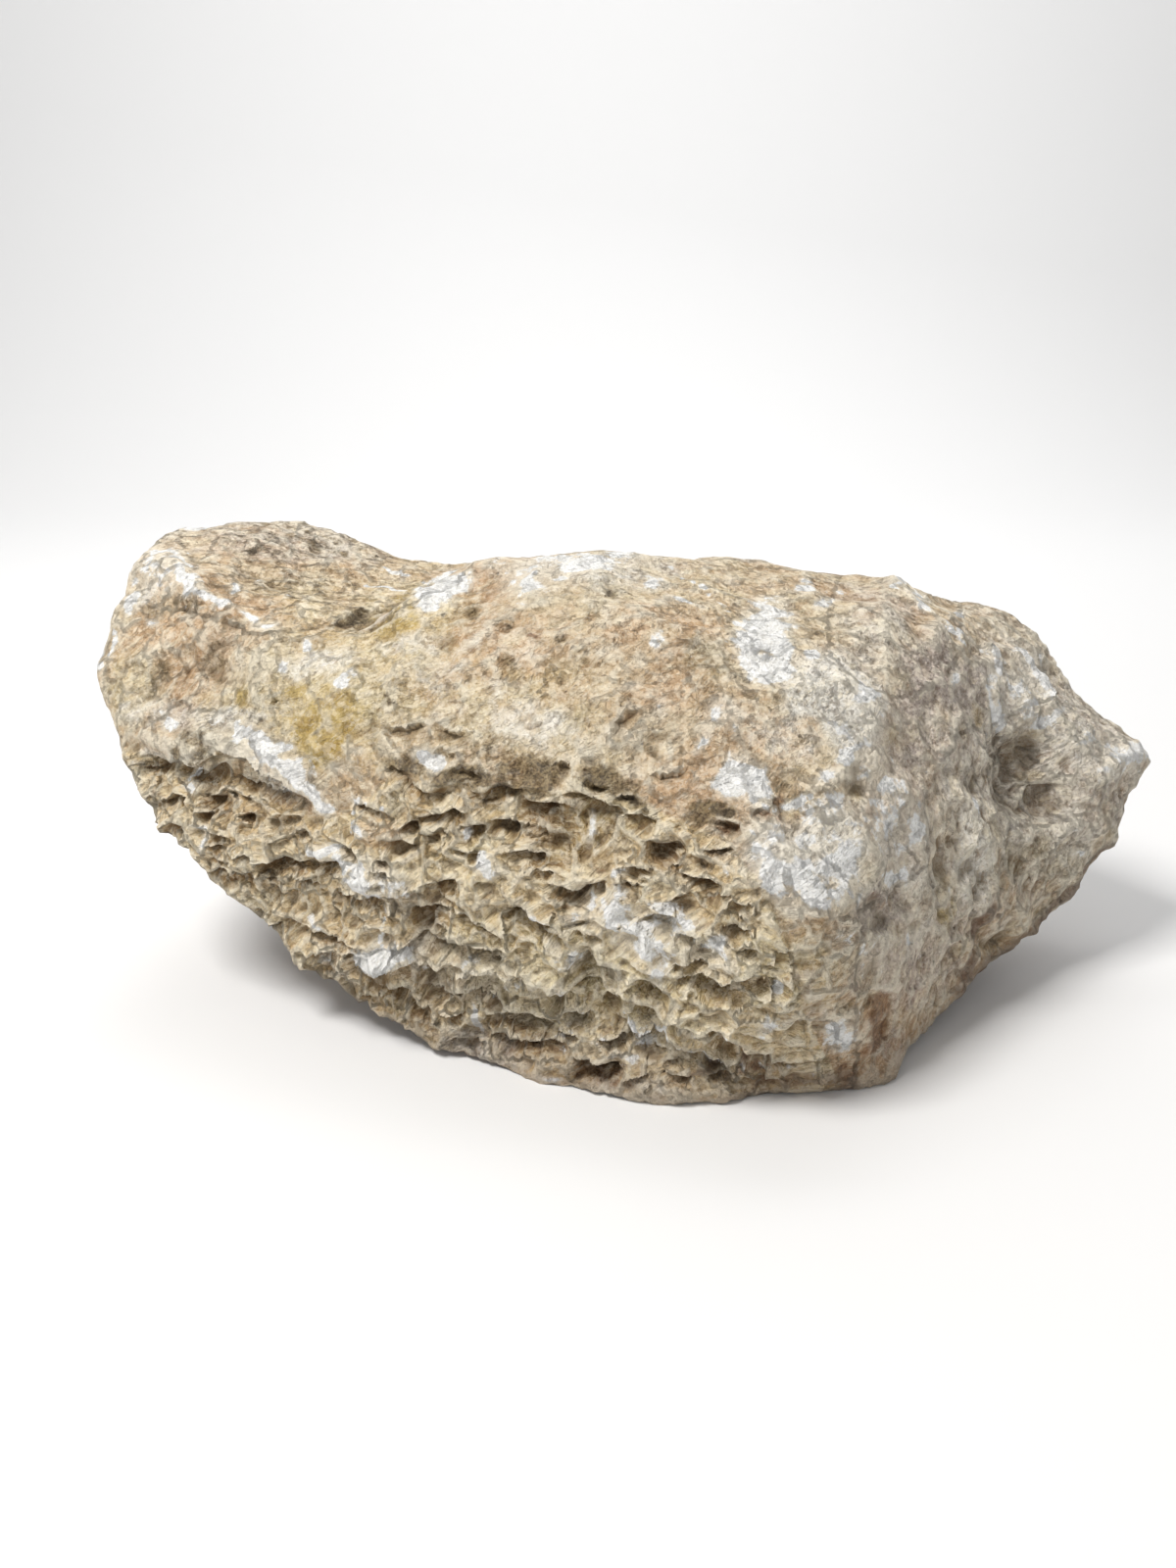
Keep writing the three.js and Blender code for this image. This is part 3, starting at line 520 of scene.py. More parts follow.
# Grey-brown rubble crust, partly painted shade: its dark paint also stands for the shade under
# the brow, at the saddle and in small holes.
GREY_CRUST_AND_SHADE = [
    [205, 758, 28, 16, 5, 0.45], [300, 555, 110, 18, 6, 0.34], [300, 600, 90, 22, 8, 0.3],
    [218, 676, 12, 24, 0, 0.5], [235, 643, 12, 10, 0, 0.4], [196, 618, 20, 12, 15, 0.4],
    [164, 695, 10, 18, 25, 0.45], [484, 618, 10, 10, 0, 0.5], [570, 582, 14, 16, 0, 0.45],
    [566, 634, 8, 7, 0, 0.5], [568, 652, 7, 6, 0, 0.55], [523, 674, 9, 6, 0, 0.55],
    [592, 673, 5, 5, 0, 0.5], [406, 716, 5, 4, 0, 0.9], [398, 706, 14, 8, 20, 0.5],
    [420, 780, 26, 10, 0, 0.75], [480, 792, 36, 13, 0, 0.75], [540, 792, 40, 24, 0, 0.85],
    [620, 795, 34, 18, 0, 0.8], [730, 826, 24, 10, 0, 0.9], [715, 838, 20, 8, 0, 0.7],
    [520, 805, 24, 12, 0, 0.8], [650, 820, 14, 8, 30, 0.8], [505, 770, 30, 22, 0, 0.5],
    [365, 634, 26, 12, -20, 0.36], [1010, 785, 10, 20, 0, 0.4], [840, 1085, 40, 10, 5, 0.3],
    [430, 572, 22, 10, 20, 0.3], [280, 897, 34, 12, 15, 0.4], [535, 945, 8, 12, 0, 0.4],
]
MAUVE = [
    [945, 690, 30, 34, 0, 0.85], [985, 700, 26, 30, 0, 0.7], [925, 720, 20, 20, 0, 0.8],
    [960, 655, 26, 18, 0, 0.4], [930, 760, 26, 26, 0, 0.5], [900, 930, 30, 24, 0, 0.8],
    [890, 1000, 26, 26, 0, 0.5], [920, 990, 34, 44, 0, 0.6], [960, 980, 30, 40, 30, 0.5],
    [905, 860, 30, 40, 0, 0.3], [795, 1000, 46, 14, 3, 0.35], [900, 1060, 24, 26, 0, 0.5],
    [650, 1112, 40, 10, 0, 0.4], [1060, 800, 40, 40, 0, 0.3], [620, 745, 18, 14, 0, 0.25],
]
RUST = [
    [894, 1040, 9, 26, 20, 0.9], [884, 1060, 8, 14, 10, 0.6], [905, 920, 9, 7, 0, 0.5],
    [797, 820, 7, 14, 0, 0.8], [775, 827, 9, 5, 0, 0.7], [742, 846, 12, 8, 0, 0.6],
    [548, 648, 6, 3, 0, 0.8], [712, 776, 9, 5, 0, 0.6], [610, 886, 6, 5, 0, 0.7],
    [770, 1085, 30, 8, 5, 0.4], [740, 1003, 30, 5, 0, 0.4], [865, 1090, 8, 5, 0, 0.6],
    [820, 830, 16, 8, 0, 0.4], [1128, 880, 10, 14, 30, 0.5], [1060, 965, 20, 8, -35, 0.5],
]
OLIVE = [
    [722, 668, 30, 26, 0, 0.8], [1050, 880, 46, 26, -10, 0.6], [1010, 850, 16, 40, 0, 0.5],
    [985, 740, 10, 10, 0, 0.5], [380, 740, 26, 30, 0, 0.5], [1075, 930, 30, 16, -25, 0.4],
    [870, 985, 20, 20, 0, 0.4], [510, 640, 14, 10, 0, 0.5], [620, 605, 20, 10, 0, 0.5],
    [835, 860, 8, 10, 0, 0.4], [790, 930, 30, 12, 0, 0.4], [800, 710, 14, 10, 0, 0.4],
]
# Painted shadow: dark spots where small pits, cracks, under-edges and the saddle's overhang are
# in shade.
PAINTED_SHADOW = [
    [210, 627, 8, 4, 10, 0.8], [262, 565, 8, 3, 0, 0.7], [283, 566, 7, 3.5, 0, 0.7],
    [240, 556, 7, 2.5, 0, 0.6], [293, 595, 3, 2, 0, 0.9], [344, 560, 8, 3, 10, 0.5],
    [360, 630, 20, 8, -20, 0.6], [370, 625, 10, 5, -20, 0.7], [508, 806, 14, 8, 0, 0.8],
    [642, 818, 12, 6, 15, 0.8], [738, 828, 14, 6, 0, 0.8], [603, 777, 10, 6, 0, 0.5],
    [519, 846, 12, 8, 0, 0.7], [620, 608, 4, 4, 0, 0.8], [518, 642, 4, 4, 0, 0.8],
    [565, 655, 5, 3, 0, 0.7], [124, 754, 6, 4, 0, 0.5], [146, 733, 8, 3, 0, 0.5],
    [930, 765, 8, 6, 0, 0.4], [985, 790, 10, 8, 0, 0.4], [640, 800, 12, 6, 20, 0.6],
]

STRAW = [
    [370, 680, 100, 90, 0, 0.8], [520, 720, 90, 50, 10, 0.7], [800, 990, 80, 60, 0, 0.7],
    [600, 1000, 180, 70, 10, 0.75], [270, 740, 60, 40, 0, 0.8], [700, 590, 90, 26, 0, 0.5],
    [850, 880, 50, 60, 0, 0.6], [470, 880, 130, 60, 0, 0.4], [440, 620, 40, 30, 0, 0.8],
    [620, 830, 50, 40, 0, 0.6], [690, 960, 40, 24, 0, 0.7], [1040, 720, 30, 40, 0, 0.4],
    [130, 700, 30, 40, 0, 0.6],
]
ASHEN = [
    [905, 650, 50, 60, 0, 0.6], [990, 690, 50, 50, 0, 0.5],
    [1040, 780, 140, 150, 0, 0.8], [845, 705, 46, 34, 0, 0.9], [900, 860, 60, 90, 0, 0.5],
    [1110, 760, 60, 60, 0, 0.8], [290, 555, 120, 26, 6, 0.6], [215, 745, 60, 24, 0, 0.6],
    [960, 900, 60, 120, 0, 0.6], [620, 575, 130, 22, 0, 0.5], [790, 870, 40, 40, 0, 0.6],
    [500, 740, 80, 40, 0, 0.3], [880, 740, 30, 50, 0, 0.6],
]

# The painted shade of the underside that shows along the right and at the foot, as a line and its
# width.
UNDERSIDE_LINES = [
    ([[1136, 868], [1100, 905], [1062, 945], [1020, 985], [980, 1015]], 15),
    ([[1010, 925], [1000, 960], [985, 1000]], 9),
    ([[870, 1098], [820, 1102], [770, 1108]], 12), ([[760, 1080], [700, 1105]], 9),
]

# How the fibres of the stone run, by place: [x, y, half width, half height, angle, how
# much they stand out in millimetres].
FIBRE_FIELDS = [
    [600, 690, 300, 110, 28, 0.15], [290, 580, 170, 60, -8, 0.3], [810, 990, 80, 80, -2, 1.3],
    [990, 880, 30, 100, 84, 0.9], [1055, 790, 40, 45, 8, 0.8], [1060, 900, 70, 50, 40, 0.6],
    [260, 830, 110, 60, 22, 0.5], [380, 960, 60, 50, 40, 0.3], [920, 1000, 50, 90, 65, 0.4],
    [860, 880, 60, 60, 20, 0.3], [900, 650, 60, 60, -35, 0.2], [180, 690, 80, 70, 35, 0.3],
    [600, 900, 200, 90, 38, 0.4],
]

# The painted zones: [mark, its patches on the front, then for the other sides the size of
# its patches in millimetres, their salt, where they start and are whole, and their
# strength, and last the softness of the front's patches].
ZONES = (
    ("cream", CREAM, 34, 83, 0.25, 0.8, 0.7, 0.45),
    ("amber", AMBER, 30, 85, 0.75, 1.0, 0.8, 0.45),
    ("peach", PEACH, 32, 87, 0.4, 0.9, 0.7, 0.45),
    ("grey_crust_and_shade", GREY_CRUST_AND_SHADE, 38, 89, 0.3, 0.8, 0.5, 0.45),
    ("mauve", MAUVE, 48, 91, 0.3, 0.8, 0.7, 0.6),
    ("rust", RUST, 24, 93, 0.7, 1.0, 0.6, 0.45),
    ("olive", OLIVE, 36, 95, 0.4, 0.9, 0.6, 0.6),
    # On the other sides, scattered dark spots of painted shadow.
    ("painted_shadow", PAINTED_SHADOW, 18, 97, 0.7, 1.0, 0.7, 0.45),
    ("straw", STRAW, 50, 99, 0.1, 0.8, 0.6, 0.8),
    ("ashen", ASHEN, 60, 101, 0.1, 0.8, 0.6, 0.8),
)

# The shares that the material reads from the stone's points.
MARK_NAMES = (
    "white", *(zone[0] for zone in ZONES), "strand", "underside_shade", "honeycomb", "pocket", "rim",
    "hollow", "basin", "luck",
)

# How far in millimetres a point is below its near and its wide surroundings where it
# counts as wholly in a hollow or a basin, and how deep a whole pocket is.
HOLLOW_DEPTH = 0.35
BASIN_DEPTH = 1.6
WHOLE_POCKET = 6.0

# The height of the bump where its value is 1, in metres.
BUMP_HEIGHT = 0.0018

# The material's grain: the size in millimetres and the slope of its broad and small chips,
# then the size, detail, seed and roughness of its noises.
CHIPS = ((4.0, 1.0), (1.4, 1.15))
COARSE_GRAIN = (3.2, 5.0, 1.0, 0.7)
FINE_GRAIN = (0.8, 3.0, 2.0, 0.6)
STRAND_GRAIN = (1.3, 4.0, 3.0, 0.66)
CREASE_GRAIN = (6.0, 5.0, 4.0, 0.6)
WIDE_GRAIN = (30, 3.0, 11.0, 0.55)
MOTTLE_GRAIN = (8, 4.0, 12.0, 0.6)
PIT_SIZE = 5.5

# How high the strands and the lines between the creases stand and how deep the pits are,
# as shares of the bump.
STRAND_HEIGHT = 1.3
CREASE_DEPTH = 0.14
PIT_DEPTH = 0.4

# The paints of the broad zones, and the dark ones that go over the light edges: [mark,
# size of the ragged edge in millimetres, seed, softness, strength, how crumbly, and the
# dark and the light colour of its grit].
BROAD_PAINTS = (
    ("straw", 9, 19, 0.45, 0.6, 1.5, "cdba86", "efe3ba"),
    ("ashen", 9, 20, 0.45, 0.78, 1.5, "d1cabf", "f3efe8"),
    ("olive", 5, 21, 0.35, 0.6, 1.5, "857757", "a99b77"),
    ("mauve", 8, 22, 0.4, 0.85, 1.5, "a79890", "d3c5bd"),
    ("peach", 5, 23, 0.35, 0.75, 1.5, "cda883", "e6caa6"),
    ("cream", 5, 24, 0.35, 0.92, 1.5, "eee8d8", "fdfaf3"),
    ("amber", 5, 26, 0.4, 0.9, 0.6, "b6994e", "d2b875"),
)
DARK_PAINTS = (
    # The grey crust's dark paint is partly real rubble and partly painted shade.
    ("grey_crust_and_shade", 4, 25, 0.3, 0.85, 2.6, "3f301d", "9a8560"),
    ("rust", 4, 27, 0.3, 0.7, 2.4, "5e3c22", "96683f"),
    # Painted shadow, laid over the light edges.
    ("painted_shadow", 2.5, 28, 0.2, 0.75, 1.5, "3f3527", "6c5e49"),
)

# How sharply two faces meet at an edge that is left crisp.
CREASE_ANGLE = math.radians(34)

# The camera's lens, and the paper in metres: where it begins in front, where it bends up
# behind the stone and how widely, how high and half how wide it is, and its brightness.
LENS = 31.5
PAPER_START = -2.0
PAPER_BEND = 1.6
PAPER_CURVE = 0.7
PAPER_STEPS = 16
PAPER_TOP = 2.6
PAPER_HALF = 2.5
PAPER_TONE = 0.88

# The even light of the room, and the soft lights: [name, place and aim in metres, size,
# power in watts, colour].
ROOM_LIGHT = 0.33
LIGHTS = [
    ("window_light", (-0.5, -0.34, 1.12), (0, 0, 0.07), 0.4, 12.3, (1.0, 0.98, 0.955)),
    ("front_fill", (-0.5, -1.2, 0.5), (0, 0, 0.07), 0.9, 0.8, (0.97, 0.98, 1.0)),
    ("back_glow", (0.2, 0.9, 0.9), (0, 0, 0.07), 0.8, 2.0, (1.0, 1.0, 1.0)),
    ("paper_light", (0, 0.75, 1.5), (0, 1.6, 0.5), 1.0, 10.0, (1.0, 1.0, 1.0)),
]

UPWARD = np.array([0.0, 0.0, 1.0])
SIGHT = np.array([0.0, math.cos(VIEW_ELEVATION), -math.sin(VIEW_ELEVATION)])
EYE = -VIEW_DISTANCE * SIGHT


def seen(places):
    """Points of the surface from how they are seen: across, up, and nearer than the middle."""
    across, up, nearer = np.array(places, float).T
    spread = 1 - nearer / VIEW_DISTANCE
    sine, cosine = math.sin(VIEW_ELEVATION), math.cos(VIEW_ELEVATION)
    return np.stack(
        [
            spread * across,
            spread * up * sine - nearer * cosine,
            spread * up * cosine + nearer * sine,
        ],
        axis=1,
    )


def as_seen(points):
    """Where points are seen, as across and up on the plane through the middle."""
    sine, cosine = math.sin(VIEW_ELEVATION), math.cos(VIEW_ELEVATION)
    spread = 1 + (points[:, 1] * cosine - points[:, 2] * sine) / VIEW_DISTANCE
    return points[:, 0] / spread, (points[:, 1] * sine + points[:, 2] * cosine) / spread


def in_view(points):
    """Where points are seen, as x and y in the 1200 by 1600 view."""
    across, up = as_seen(points)
    return VIEW_MIDDLE[0] + across / VIEW_SCALE, VIEW_MIDDLE[1] - up / VIEW_SCALE


def smoothstep(value, low, high):
    """A smooth step from 0 to 1 as the value goes from low to high."""
    part = np.clip((value - low) / (high - low), 0, 1)
    return part * part * (3 - 2 * part)


def chance(cells, salt):
    """A repeatable number from 0 to 1 for each point of a whole-number lattice."""
    i, j, k = (cells[..., axis].astype(np.uint32) for axis in range(3))
    mixed = i * np.uint32(374761393) ^ j * np.uint32(668265263)
    mixed ^= k * np.uint32(1274126177) ^ np.uint32(salt * 97531)
    mixed = (mixed ^ (mixed >> np.uint32(13))) * np.uint32(1103515245)
    mixed = (mixed ^ (mixed >> np.uint32(15))) * np.uint32(668265263)
    return (mixed ^ (mixed >> np.uint32(16))) / 2.0**32


def noise(points, size, salt):
    """Smooth noise from -1 to 1, with lumps about size apart."""
    place = points / size
    low = np.floor(place).astype(np.int64)
    part = place - low
    ease = part * part * (3 - 2 * part)
    total = np.zeros(len(points))
    for corner in range(8):
        step = np.array([corner & 1, corner >> 1 & 1, corner >> 2])
        weight = np.where(step, ease, 1 - ease).prod(axis=1)
        total += weight * chance(low + step, salt)
    return 2 * total - 1


def around(place, spread, salts):
    """The 27 cells around each place, one after the other: which it is, its own chances, and
    how far away its scattered seed is along each axis.
    """
    home = np.floor(place).astype(np.int64)
    for index in range(27):
        cell = home + np.array([index % 3, index // 3 % 3, index // 9]) - 1
        seed = np.stack([chance(cell, salt) for salt in salts], axis=1)
        yield cell, seed, place - cell - 0.5 - spread * (seed - 0.5)


def cells_at(place, spread, salts):
    """How much nearer each place's nearest scattered seed is than the next one, how far
    away it is along each axis, and which it is.
    """
    count = len(place)
    first, second = np.full(count, FAR), np.full(count, FAR)
    away, nearest = np.zeros((count, 3)), np.zeros((count, 3), np.int64)
    for cell, _, offset in around(place, spread, salts):
        distance = np.linalg.norm(offset, axis=1)
        closer = distance < first
        second = np.where(closer, first, np.minimum(second, distance))
        first = np.where(closer, distance, first)
        away[closer] = offset[closer]
        nearest[closer] = cell[closer]
    return second - first, away, nearest


def scallops(points, size, salt):
    """Hollows about size across with sharp ridges between them, from about -0.5 to 0.6.

    Also gives how clear of a ridge each point is, from 0 to 1, and its hollow's own chance.
    """
    count = len(points)
    first, second = np.full(count, FAR), np.full(count, FAR)
    luck = np.zeros(count)
    for cell, seed, away in around(points / size, SCALLOP_SPREAD, range(salt, salt + 3)):
        height = (away * away).sum(axis=1) + 0.5 * chance(cell, salt + 3) - 0.25
        height += SCALLOP_SLANT * (away * (seed[:, ::-1] - 0.5)).sum(axis=1)
        lower = height < first
        second = np.where(lower, first, np.minimum(second, height))
        first = np.where(lower, height, first)
        luck[lower] = chance(cell[lower], salt + 4)
    return first - 0.15, smoothstep(second - first, 0, 0.16), luck


def spot_distance(x, y, spot_x, spot_y, half_width, half_height, angle):
    """How far each place is from the middle of an oval, where 1 is the oval's edge. The oval
    is turned by an angle in degrees, clockwise as seen.
    """
    x, y = x - spot_x, y - spot_y
    cosine, sine = math.cos(math.radians(angle)), math.sin(math.radians(angle))
    return np.hypot((x * cosine + y * sine) / half_width, (y * cosine - x * sine) / half_height)


def patches(x, y, spots, soft=0.45):
    """How far inside any of the given patches each place is, from 0 to 1."""
    share = np.zeros(len(x))
    for *spot, strength in spots:
        distance = spot_distance(x, y, *spot)
        share = np.maximum(share, strength * smoothstep(-distance, -1 - soft, -1 + soft))
    return share


def line_distance(x, y, line):
    """How far each place is from a line through the given points."""
    nearest = np.full(len(x), 1e9)
    for (x0, y0), (x1, y1) in zip(line, line[1:]):
        long_x, long_y = x1 - x0, y1 - y0
        part = ((x - x0) * long_x + (y - y0) * long_y) / (long_x**2 + long_y**2)
        part = np.clip(part, 0, 1)
        nearest = np.minimum(nearest, np.hypot(x - x0 - part * long_x, y - y0 - part * long_y))
    return nearest


def strokes(x, y, lines, soft=0.6):
    """How far inside any of the given lines' widths each place is, from 0 to 1."""
    share = np.zeros(len(x))
    for line, width in lines:
        distance = line_distance(x, y, line) / (width / 2)
        share = np.maximum(share, smoothstep(-distance, -1 - soft, -1 + soft))
    return share


def cage():
    """The closed cage of the corners. Their bearings from the heart say which make a face."""
    front = [
        SKYLINE, SPUR_OUTLINE, FOOT_OUTLINE, KEEL_OUTLINE, LOBE_EDGE, SADDLE, LOBE_FRONT, LIP,
        LIP_RECESS, UPPER_BAND, UPPER_LEDGE, MIDDLE_BAND, LOWER_LEDGE, LOWER_BAND,
        HONEYCOMB_FACE, BROW, WEATHERED_FACE, SHOULDER, NEAR_CORNER, FLANK_FACET, HOLLOW,
        HOLLOW_RIM, SPUR_FACE, FLANK_RIDGE, FLANK_FOOT,
    ]
    corners = np.concatenate([*map(seen, front), np.array(BACK + FOOT, float)])
    bearings = corners - np.array(HEART)
    bearings /= np.linalg.norm(bearings, axis=1)[:, None]
    ball = bmesh.new()
    for bearing in bearings:
        ball.verts.new(bearing)
    ball.verts.index_update()
    bmesh.ops.convex_hull(ball, input=ball.verts)
    bmesh.ops.triangulate(ball, faces=ball.faces)
    faces = []
    for face in ball.faces:
        outward = face.normal.dot(face.calc_center_median()) > 0
        corner_order = [corner.index for corner in face.verts]
        faces.append(corner_order if outward else corner_order[::-1])
    ball.free()
    return corners, np.array(faces)


def normals_of(points, faces):
    """The unit normals of a mesh at its points."""
    a, b, c = (points[faces[:, corner]] for corner in range(3))
    cross = np.cross(b - a, c - a)
    normals = np.zeros_like(points)
    for axis in range(3):
        for corner in range(3):
            normals[:, axis] += np.bincount(
                faces[:, corner], cross[:, axis], minlength=len(points)
            )
    return normals / (np.linalg.norm(normals, axis=1)[:, None] + 1e-12)


def edges_of(faces):
    """The edges of a mesh, once each, and which edge each side of each face is."""
    sides = np.stack([faces, np.roll(faces, -1, axis=1)], axis=2)
    count = int(faces.max()) + 1
    keys = sides.min(axis=2) * count + sides.max(axis=2)
    edges, which = np.unique(keys.ravel(), return_inverse=True)
    return np.stack([edges // count, edges % count], axis=1), which.reshape(-1, 3)


def eased(values, edges, shares):
    """Moves each point's values towards the mean of its neighbours', once for each share."""
    start, end = np.concatenate([edges, edges[:, ::-1]]).T
    count = np.bincount(start, minlength=len(values))
    for share in shares:
        mean = np.stack(
            [np.bincount(start, column[end], minlength=len(values)) for column in values.T],
            axis=1,
        )
        values = values + share * (mean / count[:, None] - values)
    return values


def split(values, faces, is_long):
    """Splits the edges that are too long, and the faces beside them."""
    edges, which = edges_of(faces)
    long = is_long(edges)
    middle = np.where(long, len(values) + np.cumsum(long) - 1, -1)
    ends = edges[long]
    values = np.concatenate([values, (values[ends[:, 0]] + values[ends[:, 1]]) / 2])
    mids = middle[which]
    cuts = (mids >= 0).sum(axis=1)
    made = [faces[cuts == 0]]

    def lead(kept, first):
        """The kept faces and their middles, turned so that side number first comes first."""
        order = (first[:, None] + np.arange(3)) % 3
        rows = np.arange(len(kept))[:, None]
        return (*faces[kept][rows, order].T, *mids[kept][rows, order].T)

    one = np.nonzero(cuts == 1)[0]
    a, b, c, ab, _, _ = lead(one, (mids[one] >= 0).argmax(axis=1))
    made += [np.stack([a, ab, c], axis=1), np.stack([ab, b, c], axis=1)]
    two = np.nonzero(cuts == 2)[0]
    a, b, c, ab, bc, _ = lead(two, ((mids[two] < 0).argmax(axis=1) + 1) % 3)
    made += [np.stack([ab, b, bc], axis=1), np.stack([a, ab, bc], axis=1)]
    made += [np.stack([a, bc, c], axis=1)]
    three = np.nonzero(cuts == 3)[0]
    a, b, c, ab, bc, ca = lead(three, np.zeros(len(three), int))
    made += [np.stack(face, axis=1) for face in (
        (a, ab, ca), (ab, b, bc), (ca, bc, c), (ab, bc, ca),
    )]
    return values, np.concatenate(made)


def split_over(values, faces, longest):
    """Splits every edge that is over a length."""
    def is_long(edges):
        return np.linalg.norm(values[edges[:, 0]] - values[edges[:, 1]], axis=1) > longest
    return split(values, faces, is_long)


def smooth_stone():
    """The stone without its rough surface: the cage made finer and its edges eased."""
    points, faces = cage()
    for longest, rounds in ((7.0, 5), (3.6, 2)):
        for _ in range(rounds):
            points, faces = split_over(points, faces, longest)
        points = eased(points, edges_of(faces)[0], (0.5, -0.42, 0.5, -0.42))
    return points, faces


def line_height(line, place):
    """The height of a line through given [place, height] points."""
    ends, heights = np.array(line, float).T
    return np.interp(place, ends, heights)


def honeycomb_share(points, normals):
    """How far into the honeycomb each point is, on the front and in the back's patches."""
    across, up = as_seen(points)
    below = line_height(HONEYCOMB_TOP, across) - up
    front = smoothstep(below, -HONEYCOMB_FADE / 2, HONEYCOMB_FADE)
    patch = noise(points, BACK_PATCH_SIZE, 5) - points[:, 2] / BACK_PATCH_REACH
    back = BACK_PATCH_STRENGTH * smoothstep(patch, 0.1, 0.45)
    above = smoothstep(points[:, 2], FLOOR, FLOOR + HONEYCOMB_FADE)
    behind = smoothstep(normals[:, 1], -0.15, 0.3)
    return above * (front + (back - front) * behind), behind


def cell_pockets(points):
    """How deep the scattered pockets sink the surface, in millimetres."""
    cosine, sine = math.cos(CELL_TILT), math.sin(CELL_TILT)
    x, y, z = points.T
    place = np.stack([x * cosine + z * sine, y, z * cosine - x * sine], axis=1)
    wall, away, cell = cells_at(place / np.array(CELL_SIZE), CELL_SPREAD, (11, 12, 13))
    luck = chance(cell, 21)
    scoop = np.clip(0.55 + 0.95 * away[:, 2], 0.05, 1)
    return CELL_POCKET * smoothstep(wall, *CELL_WALL) * scoop * (0.35 + 0.85 * luck)


def front_pockets(x, y):
    """How deep the front's own pockets are at each place, how near a rim, and which it is."""
    depth, rim = np.zeros(len(x)), np.zeros(len(x))
    which = np.full(len(x), -1)
    for index, (rim_x, rim_y, width, height, deep, tilt) in enumerate(FRONT_POCKETS):
        across = (x - rim_x) / (width / 2)
        arch = rim_y + (x - rim_x) * math.tan(math.radians(tilt))
        arch += POCKET_ARCH * height * across**2
        reach = POCKET_REACH - POCKET_TAPER * np.clip(across, -1, 1) ** 2
        down = (y - arch) / (height * reach)
        sides = np.clip(1 - across**2, 0, 1) ** POCKET_ROUND
        slope = smoothstep(down, 0, POCKET_DROP) * np.clip(1 - down, 0, 1) ** POCKET_ROUND
        here = deep * sides * slope
        which = np.where(here > depth, index, which)
        depth = np.maximum(depth, here)
        lip = smoothstep(down, *RIM_BAND) * smoothstep(-down, -0.12, 0.0)
        rim = np.maximum(rim, lip * sides * min(1.0, deep / 4))
    return depth, rim, which


def ledged(x, y, broken):
    """How far the front's ledges stand out, and the faces below them stand back.

    Where broken is below zero a ledge is broken away.
    """
    kept = 0.15 + 0.85 * smoothstep(broken, -0.35, 0.2)
    out = np.zeros(len(x))
    back = np.zeros(len(x))
    for edge, high, deep, reach in LEDGES:
        ends, heights = np.array(edge, float).T
        down = y - np.interp(x, ends, heights)
        part = smoothstep(x, ends[0], ends[0] + LEDGE_FADE)
        part *= smoothstep(-x, -ends[-1], LEDGE_FADE - ends[-1])
        part *= kept
        out = np.maximum(out, part * high * smoothstep(down, -16, -2) * smoothstep(-down, -2, 1))
        under = smoothstep(down, -1, 3.5) * (1 - smoothstep(down, 4, reach))
        back = np.maximum(back, part * deep * under)
    return out, back


def raised(x, y):
    """How high the front's raised lines stand at each place."""
    height = np.zeros(len(x))
    for line, width, high in RAISED_LINES:
        height = np.maximum(height, high * smoothstep(-line_distance(x, y, line), -width, 0))
    return height


def creased(x, y):
    """How high the front's sharp crests and its steps to the left stand at each place."""
    height = np.zeros(len(x))
    for crest, reach, high in CRESTS:
        near = np.clip(1 - line_distance(x, y, crest) / reach, 0, 1)
        height = np.maximum(height, high * near**1.3)
    for step, high, reach in STEPS:
        places, ends = np.array(step, float).T
        right = x - np.interp(y, ends, places)
        part = smoothstep(y, ends[0] - 15, ends[0] + 15)
        part *= smoothstep(-y, -ends[-1] - 15, 15 - ends[-1])
        height += high * part * smoothstep(right, -9, 9) * (1 - smoothstep(right, 10, reach))
    return height


def dented(x, y):
    """How deep the front's soft hollows are at each place."""
    depth = np.zeros(len(x))
    for *spot, deep in DENTS:
        distance = spot_distance(x, y, *spot)
        depth = np.maximum(depth, deep * smoothstep(-distance, -1.15, -0.45))
    return depth


def fibre_run(x, y, which, luck, front):
    """The angle of the fibres at each point, by place and by chip, and how they stand out."""
    most, angle, height = np.full(len(x), 0.05), np.full(len(x), PLAIN_TURN), np.zeros(len(x))
    for field_x, field_y, half_width, half_height, turn, high in FIBRE_FIELDS:
        near = np.exp(-(((x - field_x) / half_width) ** 2 + ((y - field_y) / half_height) ** 2))
        angle = np.where(near > most, turn, angle)
        most = np.maximum(most, near)
        height = np.maximum(height, near * high)
    own = POCKET_TURNS[0] + POCKET_TURNS[1] * np.modf((which + 1) * 0.618)[0]
    angle = np.where(which >= 0, own, angle) + CHIP_TURN * (luck - 0.5)
    angle = np.where(front, angle, BACK_TURNS[0] + BACK_TURNS[1] * luck)
    return np.radians(angle), height * front


def layer_height(layer, honeycomb, extra):
    """How high a layer of the rough surface stands at each point, in millimetres."""
    _, plain, in_honeycomb, in_extra = layer
    return plain + in_honeycomb * honeycomb + in_extra * extra


def inside_outline(facing, least, low, high):
    """From least, where a point faces across the line of sight, to 1, where it doesn't."""
    return least + (1 - least) * smoothstep(np.abs(facing), low, high)


